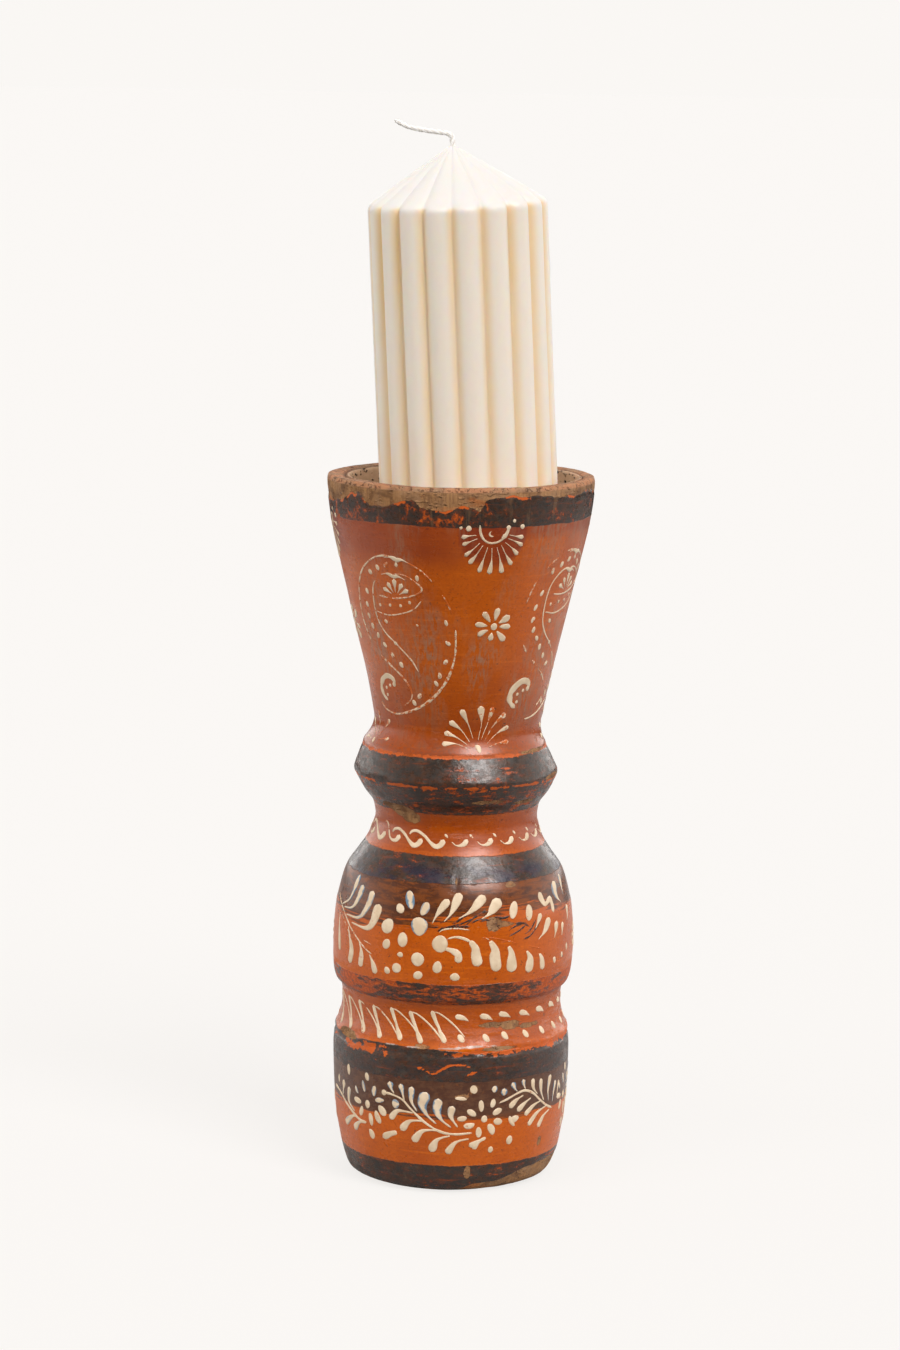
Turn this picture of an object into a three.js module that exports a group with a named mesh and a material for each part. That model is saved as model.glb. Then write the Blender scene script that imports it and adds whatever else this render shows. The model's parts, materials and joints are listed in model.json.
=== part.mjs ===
// A turned and painted wooden candlestick with a ribbed pillar candle.
// Millimetres, +Z up. The origin is the centre of the stick's flat foot.
//
// The stick is one block of wood, turned on a lathe, with a stepped recess bored into its top.
// The candle stands loose in the recess. It is narrower than the recess and its low edge is on the
// floor, while its other side is held up by the step, so that it leans. A cotton wick runs through it.

import * as THREE from 'three';
import { mergeVertices } from 'three/addons/utils/BufferGeometryUtils.js';

// Stick: heights above the foot and outer radii of the turned features, from the foot up.
const STICK_HEIGHT = 280;
const FOOT_FLAT_RADIUS = 36;
const FOOT_EDGE = { z: 13, r: 43.8 };
const BARREL = { z: 48, r: 47 };
const BARREL_SHOULDER = { z: 62.5, r: 45.2 };
const GROOVE = { bottomZ: 69, topZ: 76, r: 43.5 };
const BELLY = { z: 92, r: 47.7 };
const BELLY_SHOULDER = { z: 110, r: 46.7 };
const NECK = { z: 144, r: 31.9 };
const COLLAR_NOSE = { z: 162.8, r: 40.3 };
const LEDGE = { z: 174, r: 35.9 };
const CUP_FOOT = { z: 182.5, r: 32.8 };
const CUP_MIDDLE = { z: 231, r: 43.6 };
const RIM_OUTER = { z: 275.5, r: 52.7 };
const RIM_ROUNDING = 2.2;

// Recess: it narrows a little from the mouth to the step, then drops to a smaller floor.
const MOUTH_RADIUS = 44.9;
const STEP_OUTER_RADIUS = 43;
const STEP_INNER_RADIUS = 36.8;
const RECESS_DEPTH = 25;
const MOUTH_ROUNDING = 1.2;

// Candle: a pillar of round ribs with a low ribbed cone on top.
const CANDLE_RADIUS = 35;
const CANDLE_STRAIGHT = 128.4;
const CANDLE_HEIGHT = 150;
const RIB_COUNT = 18;
const GROOVE_RADIUS = 32.6;
const GROOVE_PHASE = THREE.MathUtils.degToRad(-93);
const SHOULDER_ROUNDING = 0.8;
const TIP_RADIUS = 2.4;

// How the candle stands: its slope towards -X and -Y, and its place across the recess floor.
const LEAN_X = THREE.MathUtils.degToRad(3.05);
const LEAN_Y = THREE.MathUtils.degToRad(2.0);
const STAND_X = 3.8;
const STAND_Y = 2.5;

// Wick: straight through the wax, then a short stub that has bent over.
const WICK_RADIUS = 0.9;
const WICK_BORE_RADIUS = 1.2;
const WICK_STUB = [
  [0, 0, 1.5],
  [-0.2, 0, 3.4],
  [-1.6, -0.2, 4.9],
  [-6, -0.5, 5.8],
  [-12, -0.2, 6.9],
  [-17.5, 0.4, 8.4],
  [-22, 0.5, 11],
];

// Pieces that touch keep this gap.
const TOUCH_GAP = 0.3;

const STICK_SEGMENTS = 72;
const SEGMENTS_PER_RIB = 6;
const WICK_SIDES = 8;
const WICK_STEPS = 24;

const MATERIALS = {
  lacqueredWood: { color: 0xb4541c, roughness: 0.45, metalness: 0 },
  wax: { color: 0xefe6d6, roughness: 0.5, metalness: 0 },
  cotton: { color: 0xf1ede4, roughness: 0.9, metalness: 0 },
};

// The lean as one slope, and the height of the step that props the candle up. The candle's low edge
// is on the floor. Its outline crosses the step's edge at two points, PROP_REACH uphill of its axis,
// and it rests on them.
const LEAN_SLOPE = new THREE.Vector2(Math.tan(LEAN_X), Math.tan(LEAN_Y));
const LEAN_ANGLE = Math.atan(LEAN_SLOPE.length());
const LOW_EDGE_DROP = CANDLE_RADIUS * Math.sin(LEAN_ANGLE);
const OFF_CENTRE = Math.hypot(STAND_X, STAND_Y);
const PROP_REACH = (STEP_INNER_RADIUS ** 2 - CANDLE_RADIUS ** 2 - OFF_CENTRE ** 2) / (2 * OFF_CENTRE);
const FLOOR_Z = STICK_HEIGHT - RECESS_DEPTH;
const STEP_Z = FLOOR_Z + LOW_EDGE_DROP + PROP_REACH * Math.tan(LEAN_ANGLE);

function material(name) {
  return new THREE.MeshStandardMaterial(MATERIALS[name]);
}

// A smooth run of a turned profile through [radius, z] points, without its first point.
function curvedRun(points, steps) {
  const curve = new THREE.SplineCurve(points.map(([r, z]) => new THREE.Vector2(r, z)));
  return curve.getPoints(steps).slice(1);
}

// A quarter-round edge between two directions, given by its centre and start and end angles.
function roundedEdge(r, z, radius, startAngle, endAngle) {
  const arc = new THREE.EllipseCurve(r, z, radius, radius, startAngle, endAngle, endAngle < startAngle);
  return arc.getPoints(3);
}

function stickProfile() {
  const rimTopR = RIM_OUTER.r - RIM_ROUNDING;
  const rimTopZ = STICK_HEIGHT - RIM_ROUNDING;
  const mouthR = MOUTH_RADIUS + MOUTH_ROUNDING;
  const mouthZ = STICK_HEIGHT - MOUTH_ROUNDING;
  return [
    new THREE.Vector2(0, 0),
    new THREE.Vector2(FOOT_FLAT_RADIUS, 0),
    ...curvedRun([[FOOT_FLAT_RADIUS, 0], [40.4, 2.2], [42.2, 6.5], [FOOT_EDGE.r, FOOT_EDGE.z]], 4),
    ...curvedRun([[FOOT_EDGE.r, FOOT_EDGE.z], [46, 27], [BARREL.r, BARREL.z],
      [46.6, 57], [BARREL_SHOULDER.r, BARREL_SHOULDER.z]], 6),
    ...curvedRun([[BARREL_SHOULDER.r, BARREL_SHOULDER.z], [GROOVE.r, GROOVE.bottomZ],
      [GROOVE.r, GROOVE.topZ - 3], [GROOVE.r + 0.6, GROOVE.topZ]], 4),
    ...curvedRun([[GROOVE.r + 0.6, GROOVE.topZ], [46.2, 80], [BELLY.r, BELLY.z],
      [BELLY_SHOULDER.r, BELLY_SHOULDER.z]], 5),
    ...curvedRun([[BELLY_SHOULDER.r, BELLY_SHOULDER.z], [43.3, 122.5], [38.4, 130], [34.6, 136],
      [NECK.r, NECK.z]], 6),
    ...curvedRun([[NECK.r, NECK.z], [33.1, 150], [36.6, 155],
      [COLLAR_NOSE.r - 0.7, COLLAR_NOSE.z - 2.2]], 4),
    new THREE.Vector2(COLLAR_NOSE.r, COLLAR_NOSE.z),
    ...curvedRun([[COLLAR_NOSE.r - 0.4, COLLAR_NOSE.z + 2], [37.3, 170], [LEDGE.r, LEDGE.z]], 2),
    ...curvedRun([[LEDGE.r, LEDGE.z], [33.9, 178], [CUP_FOOT.r, CUP_FOOT.z]], 2),
    ...curvedRun([[CUP_FOOT.r, CUP_FOOT.z], [36.2, 200], [CUP_MIDDLE.r, CUP_MIDDLE.z],
      [50.4, 260], [RIM_OUTER.r, RIM_OUTER.z]], 7),
    ...roundedEdge(rimTopR, rimTopZ, RIM_ROUNDING, 0, Math.PI / 2),
    ...roundedEdge(mouthR, mouthZ, MOUTH_ROUNDING, Math.PI / 2, Math.PI),
    new THREE.Vector2(STEP_OUTER_RADIUS, STEP_Z),
    new THREE.Vector2(STEP_INNER_RADIUS, STEP_Z),
    new THREE.Vector2(STEP_INNER_RADIUS, FLOOR_Z),
    new THREE.Vector2(0, FLOOR_Z),
  ];
}

// three.js turns profiles about Y, so each turned piece is stood up along Z.
function turned(profile, segments) {
  return new THREE.LatheGeometry(profile, segments).rotateX(Math.PI / 2);
}

// Radius of the ribbed outline in one direction: each rib is a circular arc that meets the next
// one at the groove radius.
function ribbedRadius(angle) {
  const pitch = (2 * Math.PI) / RIB_COUNT;
  const turns = (angle - GROOVE_PHASE) / pitch;
  const fromCrest = (turns - Math.floor(turns) - 0.5) * pitch;
  const halfChord = GROOVE_RADIUS * Math.sin(pitch / 2);
  const sagitta = CANDLE_RADIUS - GROOVE_RADIUS * Math.cos(pitch / 2);
  const ribRadius = (halfChord ** 2 + sagitta ** 2) / (2 * sagitta);
  const ribCentre = CANDLE_RADIUS - ribRadius;
  return ribCentre * Math.cos(fromCrest)
    + Math.sqrt(ribRadius ** 2 - (ribCentre * Math.sin(fromCrest)) ** 2);
}

// The candle is turned as a plain ring around the wick's bore. Then each point is drawn in to the
// ribbed outline, fully at the outside and not at all at the bore.
function candleGeometry() {
  const profile = [
    [WICK_BORE_RADIUS, 0],
    [CANDLE_RADIUS, 0],
    [CANDLE_RADIUS, CANDLE_STRAIGHT - SHOULDER_ROUNDING],
    [CANDLE_RADIUS - SHOULDER_ROUNDING, CANDLE_STRAIGHT + SHOULDER_ROUNDING / 2],
    [CANDLE_RADIUS / 2, (CANDLE_STRAIGHT + CANDLE_HEIGHT) / 2],
    [TIP_RADIUS, CANDLE_HEIGHT - 0.5],
    [WICK_BORE_RADIUS, CANDLE_HEIGHT],
    [WICK_BORE_RADIUS, 0],
  ].map(([r, z]) => new THREE.Vector2(r, z));
  const geometry = turned(profile, RIB_COUNT * SEGMENTS_PER_RIB);
  geometry.rotateZ(GROOVE_PHASE);
  geometry.deleteAttribute('normal');
  geometry.deleteAttribute('uv');
  const points = geometry.attributes.position;
  for (let i = 0; i < points.count; i += 1) {
    const x = points.getX(i);
    const y = points.getY(i);
    const r = Math.hypot(x, y);
    const ribbing = ribbedRadius(Math.atan2(y, x)) / CANDLE_RADIUS;
    const share = (r - WICK_BORE_RADIUS) / (CANDLE_RADIUS - WICK_BORE_RADIUS);
    const pull = 1 - (1 - ribbing) * share;
    points.setXY(i, x * pull, y * pull);
  }
  const joined = mergeVertices(geometry, 1e-4);
  joined.computeVertexNormals();
  return joined;
}

function wickGeometry() {
  const circle = new THREE.Shape();
  circle.absarc(0, 0, WICK_RADIUS, 0, 2 * Math.PI);
  const straight = [0, 0.5, 1].map((share) => [0, 0, 1 + share * (CANDLE_HEIGHT - 2)]);
  const stub = WICK_STUB.map(([x, y, z]) => [x, y, CANDLE_HEIGHT + z]);
  const path = new THREE.CatmullRomCurve3([...straight, ...stub].map((p) => new THREE.Vector3(...p)));
  path.curveType = 'centripetal';
  return new THREE.ExtrudeGeometry(circle, {
    extrudePath: path,
    steps: WICK_STEPS,
    curveSegments: WICK_SIDES / 2,
  });
}

// The frame that the candle and its wick stand in: on the recess floor, leaning.
function candlePlace() {
  const place = new THREE.Group();
  const along = new THREE.Vector3(-LEAN_SLOPE.x, -LEAN_SLOPE.y, 1).normalize();
  place.quaternion.setFromUnitVectors(new THREE.Vector3(0, 0, 1), along);
  place.position.set(STAND_X, STAND_Y, FLOOR_Z + TOUCH_GAP + LOW_EDGE_DROP);
  return place;
}

function named(name, geometry, materialName) {
  const mesh = new THREE.Mesh(geometry, material(materialName));
  mesh.name = name;
  return mesh;
}

const candlestick = new THREE.Group();
const leaning = candlePlace();
leaning.add(named('pillar_candle', candleGeometry(), 'wax'));
leaning.add(named('wick', wickGeometry(), 'cotton'));
candlestick.add(named('turned_stick', turned(stickProfile(), STICK_SEGMENTS), 'lacqueredWood'));
candlestick.add(leaning);

export default candlestick;
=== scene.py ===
"""A turned and painted wooden candlestick with a ribbed pillar candle.

The stick is one turned mesh. Numbers stored on its points say where paint, chips and bare wood lie,
and its material draws them. The cream ornament is laid on it as raised brush strokes. The candle
and its wick are meshes in the leaning place where the CAD candle stands. Lengths are in millimetres
and angles in degrees until a mesh is made. An azimuth of 0 faces the camera and grows to the right.
"""
import json
import math

import bpy
import numpy as np
from mathutils import Matrix, Vector


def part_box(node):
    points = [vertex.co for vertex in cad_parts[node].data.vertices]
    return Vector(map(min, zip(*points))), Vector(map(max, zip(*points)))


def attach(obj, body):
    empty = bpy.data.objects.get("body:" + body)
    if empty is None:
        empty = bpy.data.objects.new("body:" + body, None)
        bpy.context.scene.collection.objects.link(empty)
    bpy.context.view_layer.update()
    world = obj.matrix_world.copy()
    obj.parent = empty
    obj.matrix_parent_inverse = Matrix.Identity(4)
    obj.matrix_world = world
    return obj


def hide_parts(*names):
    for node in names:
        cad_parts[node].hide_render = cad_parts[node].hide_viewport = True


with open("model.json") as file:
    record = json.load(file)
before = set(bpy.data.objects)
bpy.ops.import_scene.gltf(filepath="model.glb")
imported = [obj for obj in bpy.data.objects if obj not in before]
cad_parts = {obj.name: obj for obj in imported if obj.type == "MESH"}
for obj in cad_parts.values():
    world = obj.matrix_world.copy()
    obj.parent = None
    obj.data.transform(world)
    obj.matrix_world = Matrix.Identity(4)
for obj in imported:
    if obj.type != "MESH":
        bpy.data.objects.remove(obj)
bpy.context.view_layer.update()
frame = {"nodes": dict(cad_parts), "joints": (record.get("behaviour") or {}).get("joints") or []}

MM = 0.001

# ---------------------------------------------------------------- sizes
STICK_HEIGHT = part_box("turned_stick")[1].z / MM
FOOT_FLAT = 36
RIM_RADIUS = 52.7
RIM_BEGINS = 275.5
MOUTH_RADIUS = 44.9
MOUTH_TOP = 278.4
MOUTH_SHIFT = 1.2
RECESS_FLOOR = STICK_HEIGHT - 25
RECESS_STEP = RECESS_FLOOR + 3
STEP_OUTER = 43
STEP_INNER = 36.8

# Turned profile of the outside, as smooth runs through (radius, height) points.
OUTSIDE_RUNS = [
    [(FOOT_FLAT, 0), (40.4, 2.2), (42.2, 6.5), (43.8, 13)],
    [(43.8, 13), (46, 27), (47, 48), (46.7, 56), (46.0, 60)],
    [(46.0, 60), (44.6, 63.5), (43.6, 67.5), (43.4, 72), (43.7, 75.5), (44.4, 77.3)],
    [(44.4, 77.3), (46.1, 78.9), (47.2, 83), (47.7, 92), (47.5, 101), (46.7, 110)],
    [(46.7, 110), (43.3, 122.5), (38.4, 130), (34.6, 136), (31.9, 144)],
    [(31.9, 144), (33.1, 150), (36.6, 155), (39.6, 160.6)],
    [(39.6, 160.6), (40.3, 161.8), (40.3, 163.2), (39.8, 164.6)],
    [(39.8, 164.6), (37.7, 169.4), (36.3, 172.2)],
    [(36.3, 172.2), (35.7, 174.2), (34.5, 176.2), (33.3, 179.4), (32.9, 183)],
    [(32.9, 183), (36.2, 200), (43.6, 231), (50.4, 260), (RIM_RADIUS, RIM_BEGINS)],
]
# From the outside over the rim, into the recess and down to its step.
RIM_RUN = [(RIM_RADIUS, RIM_BEGINS), (RIM_RADIUS, 278.0), (52.3, 279.3), (51.3, 279.8)]
RIM_TOP_RUN = [(51.3, 279.8), (48.8, 279.5), (47.0, 279.3), (46.5, 278.9), (46.1, 279.4), (45.3, 279.3),
               (MOUTH_RADIUS, MOUTH_TOP)]
WALL_RUN = [(MOUTH_RADIUS, MOUTH_TOP), (44.3, 272), (43.5, 264), (STEP_OUTER, RECESS_STEP)]
# Radii of the two dark rings on the rim's top. Only the first is scored into the wood.
RING_RADIUS = 46.6
OUTER_RING_RADIUS = 51.2

# The stick isn't quite true: how far its middle drifts sideways at each height.
AXIS_DRIFT = [(0, -0.8), (60, -0.8), (76, -0.9), (92, -0.45), (130, -0.45), (144, 0), (158, -0.1),
              (166, -0.7), (175, -0.9), (184, 0.1), (280, 0)]

# The grid: how far apart its rows are on the flat foot, on plain runs and in the fine zones.
MIDDLE_ROW_STEP = 4.0
ROW_STEP = 1.9
FINE_ROW_STEP = 0.72
FINE_ZONES = [(0, 14), (48, 64), (76, 80), (147, 181), (262, 281)]
COLUMNS = 272
OUTLINE_SPACING = 0.2
# Arc lengths past the rim's start: where paint ends, where wear ends and where the recess begins.
RIM_PAINT_END = 1.5
RIM_WEAR_END = 4
RECESS_BEGINS = 11.2

# Heights of turned edges that wear and paint follow.
SHOULDER_CREVICE = 57.0
SHOULDER_CRUST = 58.6
SHOULDER_LIP = 59.4
COLLAR_NOSE = 162.5
LEDGE = 173.5

# How deep each kind of wear goes, and how far each kind of lump stands out.
WARP = 0.22
RIPPLE = 0.05
BARE_DEPTH = 0.30
FLAKE_DEPTH = 0.12
RIM_WEAR = 0.8
NOSE_WEAR = 0.55
CRUST_HEIGHT = 0.75
CREVICE_DEPTH = 0.5
LIP_HEIGHT = 0.3
FOOT_WEAR = 0.35
FOOT_WEAR_RIGHT = 0.9
TEAR_OUT = 0.25
TEAR_UP = 0.2
RIM_SAG = 0.35
RING_DEPTH = 0.35
LEDGE_SWELL = 0.5

# ---------------------------------------------------------------- colours
# All as linear red, green and blue.
ORANGE = (0.58, 0.112, 0.002)
ORANGE_DEEP = (0.38, 0.060, 0.002)
ORANGE_BRIGHT = (0.70, 0.150, 0.003)
FLAKE_ORANGE = (0.60, 0.100, 0.002)
CHIP_TAN = (0.55, 0.30, 0.16)
# Painted shade, multiplied into the orange in the hollows of the turning.
HOLLOW_PAINTED_SHADE = (0.56, 0.46, 0.40)
CRIMSON = (0.165, 0.013, 0.012)
DUST = (0.34, 0.24, 0.16)
BROWN = (0.170, 0.048, 0.008)
BROWN_DEEP = (0.036, 0.017, 0.010)
BROWN_SPECK = (0.26, 0.085, 0.020)
BARREL_WASH = (0.085, 0.050, 0.030)
BARREL_WASH_DEEP = (0.036, 0.024, 0.018)
BLACK = (0.038, 0.030, 0.025)
BLACK_BROWN = (0.080, 0.032, 0.015)
BLACK_RUBBED = (0.24, 0.045, 0.010)
BLACK_FILM = (0.14, 0.125, 0.090)
BLACK_BLED = (0.30, 0.055, 0.008)
BLACK_STAIN = (0.20, 0.105, 0.050)
BLACK_NAVY = (0.022, 0.022, 0.050)
# Darker colour laid in the corners of the turning.
CORNER_DARKENING = (0.16, 0.09, 0.055)
CHIP_EDGE = (0.06, 0.022, 0.010)
# Painted highlight on the lower shoulder's lip.
LIP_HIGHLIGHT = (0.52, 0.42, 0.36)
BARE_WOOD = (0.43, 0.215, 0.082)
BARE_WOOD_DARK = (0.19, 0.085, 0.034)
WOOD_FADED = (0.36, 0.20, 0.10)
WOOD_GRIME = (0.120, 0.050, 0.018)
WOOD_STAIN = (0.50, 0.150, 0.030)
WOOD_SPECK = (0.07, 0.034, 0.018)
END_GRAIN = (0.41, 0.235, 0.125)
END_GRAIN_DARK = (0.30, 0.155, 0.080)
RIM_ORANGE = (0.56, 0.235, 0.105)
RIM_RING = (0.070, 0.030, 0.014)
RIM_PIT = (0.10, 0.042, 0.020)
# Pale torn end grain, made paler still as painted light against the shade in the recess.
RECESS_PAINTED_LIGHT = (0.76, 0.55, 0.38)
PORE = (0.040, 0.020, 0.012)
CREAM = (0.86, 0.70, 0.50)
CREAM_SHADE = (0.74, 0.57, 0.38)
CREAM_EDGE = (0.42, 0.24, 0.11)
BLUE_GREY = (0.05, 0.19, 0.34)
BRUSH_DARK = (0.035, 0.016, 0.010)
BRUSH_DRY = (0.30, 0.060, 0.006)
WAX = (0.93, 0.842, 0.735)
# Painted light: the cone's cooler tone, though it is the same wax as the sides.
WAX_CONE_LIT = (0.80, 0.78, 0.75)
# Painted light and shade: a warm glow down in the candle's grooves.
WAX_GROOVE_GLOW = (0.90, 0.60, 0.21)
WAX_MARK = (0.80, 0.70, 0.56)
WAX_LIGHT_REACH = (1.0, 0.62, 0.30)
COTTON = (0.97, 0.96, 0.94)
COTTON_SHADE = (0.88, 0.85, 0.79)
COTTON_WAXED = (0.66, 0.62, 0.54)
STUDIO_WHITE = (0.957, 0.932, 0.905)
WINDOW_LIGHT = (1, 0.96, 0.95)
FILL_LIGHT = (1, 0.97, 0.93)
SHEEN_LIGHT = (1, 0.95, 0.92)

# Roughness of flaked paint and of bare wood, as greys. Refraction of lacquer and of wax.
FLAKE_ROUGH = (0.55, 0.55, 0.55)
WOOD_ROUGH = (0.84, 0.84, 0.84)
LACQUER_IOR = 1.46
WAX_IOR = 1.44

SEED = 7
random = np.random.default_rng(SEED)


# ---------------------------------------------------------------- noise
def lattice_value(ix, iy, iz, seed):
    """A repeatable number from 0 to 1 for each corner of a whole-number lattice."""
    n = ix * 374761393 + iy * 668265263 + iz * 1440662683 + seed * 974634777
    n = (n ^ (n >> 13)) * 1274126177
    n = n ^ (n >> 16)
    return (n & 0xFFFFF) / 0xFFFFF


def smooth_noise(x, y, z, seed):
    """Smooth noise from -1 to 1 with features about one unit across."""
    corner = [np.floor(a).astype(np.int64) for a in (x, y, z)]
    share = [a - c for a, c in zip((x, y, z), corner)]
    share = [s * s * (3 - 2 * s) for s in share]
    total = 0
    for dx in (0, 1):
        for dy in (0, 1):
            for dz in (0, 1):
                weight = 1
                for s, d in zip(share, (dx, dy, dz)):
                    weight = weight * (s if d else 1 - s)
                value = lattice_value(corner[0] + dx, corner[1] + dy, corner[2] + dz, seed)
                total = total + weight * value
    return total * 2 - 1


def rough_noise(x, y, z, size, seed, octaves=3):
    """Noise from -1 to 1 with features from size downwards, for points given in millimetres."""
    total, weight, weights = 0, 1.0, 0
    for octave in range(octaves):
        scale = 2 ** octave / size
        layer = smooth_noise(x * scale + 31.7 * octave, y * scale, z * scale, seed + octave)
        total = total + weight * layer
        weights += weight
        weight *= 0.55
    return total / weights


def ramp(value, low, high):
    """0 below low, 1 above high and a smooth step between them."""
    t = np.clip((value - low) / (high - low), 0, 1)
    return t * t * (3 - 2 * t)


def turn_between(a, b):
    """The signed difference of two azimuths in degrees, from -180 to 180."""
    return (a - b + 180) % 360 - 180


# ---------------------------------------------------------------- outlines
def smooth_path(points, spacing):
    """A Catmull-Rom curve through points of any dimension, sampled about every spacing."""
    p = np.array(points, float)
    p = np.vstack([2 * p[0] - p[1], p, 2 * p[-1] - p[-2]])
    out = []
    for i in range(1, len(p) - 2):
        a, b, c, d = p[i - 1: i + 3]
        count = max(2, int(np.linalg.norm(c - b) / spacing))
        t = np.linspace(0, 1, count, endpoint=False)[:, None]
        out.append(0.5 * (2 * b + (c - a) * t + (2 * a - 5 * b + 4 * c - d) * t ** 2
                          + (3 * b - a - 3 * c + d) * t ** 3))
    return np.vstack(out + [p[-2][None]])


def path_lengths(points):
    return np.concatenate([[0], np.cumsum(np.linalg.norm(np.diff(points, axis=0), axis=1))])


def straight_path(a, b, spacing):
    count = max(1, int(math.dist(a, b) / spacing))
    return np.linspace(a, b, count + 1)


def stick_outline():
    """The whole turned outline from the foot's centre to the recess floor's centre, finely sampled."""
    fine = OUTLINE_SPACING
    parts = [straight_path((0, 0), (FOOT_FLAT, 0), 1.0)]
    for run in OUTSIDE_RUNS + [RIM_RUN, RIM_TOP_RUN, WALL_RUN]:
        parts.append(smooth_path(run, fine)[1:])
    parts.append(straight_path((STEP_OUTER, RECESS_STEP), (STEP_INNER, RECESS_STEP), fine)[1:])
    parts.append(straight_path((STEP_INNER, RECESS_STEP), (STEP_INNER, RECESS_FLOOR), fine)[1:])
    parts.append(straight_path((STEP_INNER, RECESS_FLOOR), (0, RECESS_FLOOR), 1.0)[1:])
    return np.vstack(parts)


def chosen_rows(outline):
    """Arc lengths of the mesh's rows: close together at edges and wide on plain runs."""
    lengths = path_lengths(outline)
    rows, here = [], 0.0
    while here < lengths[-1]:
        rows.append(here)
        z = np.interp(here, lengths, outline[:, 1])
        r = np.interp(here, lengths, outline[:, 0])
        flat_middle = r < FOOT_FLAT - 4
        fine = any(low <= z <= high for low, high in FINE_ZONES)
        here += MIDDLE_ROW_STEP if flat_middle else FINE_ROW_STEP if fine else ROW_STEP
    return np.array(rows + [lengths[-1]])


# ---------------------------------------------------------------- the stick's surface
class Place:
    """Where the grid's points lie on the plain turned stick, with the noise that wear follows."""

    def __init__(self, azimuth, s, r, z, rim_s):
        self.azimuth, self.s, self.r, self.z, self.rim_s = azimuth, s, r, z, rim_s
        angle = np.radians(azimuth)
        self.x, self.y = r * np.sin(angle), -r * np.cos(angle)
        self.outside = (s < rim_s + RIM_PAINT_END) & ((s > FOOT_FLAT) | (z > 1))
        self.outer = s < rim_s
        self.around = self.noise(26, 22, 0, 2)
        self.torn_line = self.noise(5.5, 27, 0.8)
        self.crusty = ramp(azimuth, -8, 14) * ramp(azimuth, 110, 90)
        self.jag = self.shoulder_jag()
        self.rim_edge = self.rim_paint_edge()

    def noise(self, size, seed, squash=1.0, octaves=3):
        """Noise from -1 to 1 with features of a size, squashed flat by squash or upright at 0."""
        return rough_noise(self.x, self.y, self.z * squash, size, seed, octaves)

    def near(self, height, half_width):
        """1 at a height, falling off smoothly over its half width."""
        return np.exp(-((self.z - height) / half_width) ** 2)

    def spot(self, centre, height, half_turn, half_height):
        """1 at a centre azimuth and height, falling off smoothly all round."""
        turn = turn_between(self.azimuth, centre) / half_turn
        return np.exp(-turn ** 2 - ((self.z - height) / half_height) ** 2)

    def shoulder_jag(self):
        """How far the ragged edge of the shoulder's paint goes up, most on its crusty right."""
        ragged = self.noise(6.5, 34, 0, 3) + 0.35 * self.crusty
        return (0.6 + 1.3 * self.crusty) * ragged - 0.5 * (1 - self.crusty)

    def rim_paint_edge(self):
        """Height where the rim's black paint ends and bare wood begins."""
        line = np.interp(self.azimuth, *zip(*RIM_LINE)) + 0.8 * self.noise(5, 24, 0, 2)
        return line + 0.7 * self.noise(2.2, 25, 0, 2)


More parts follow.
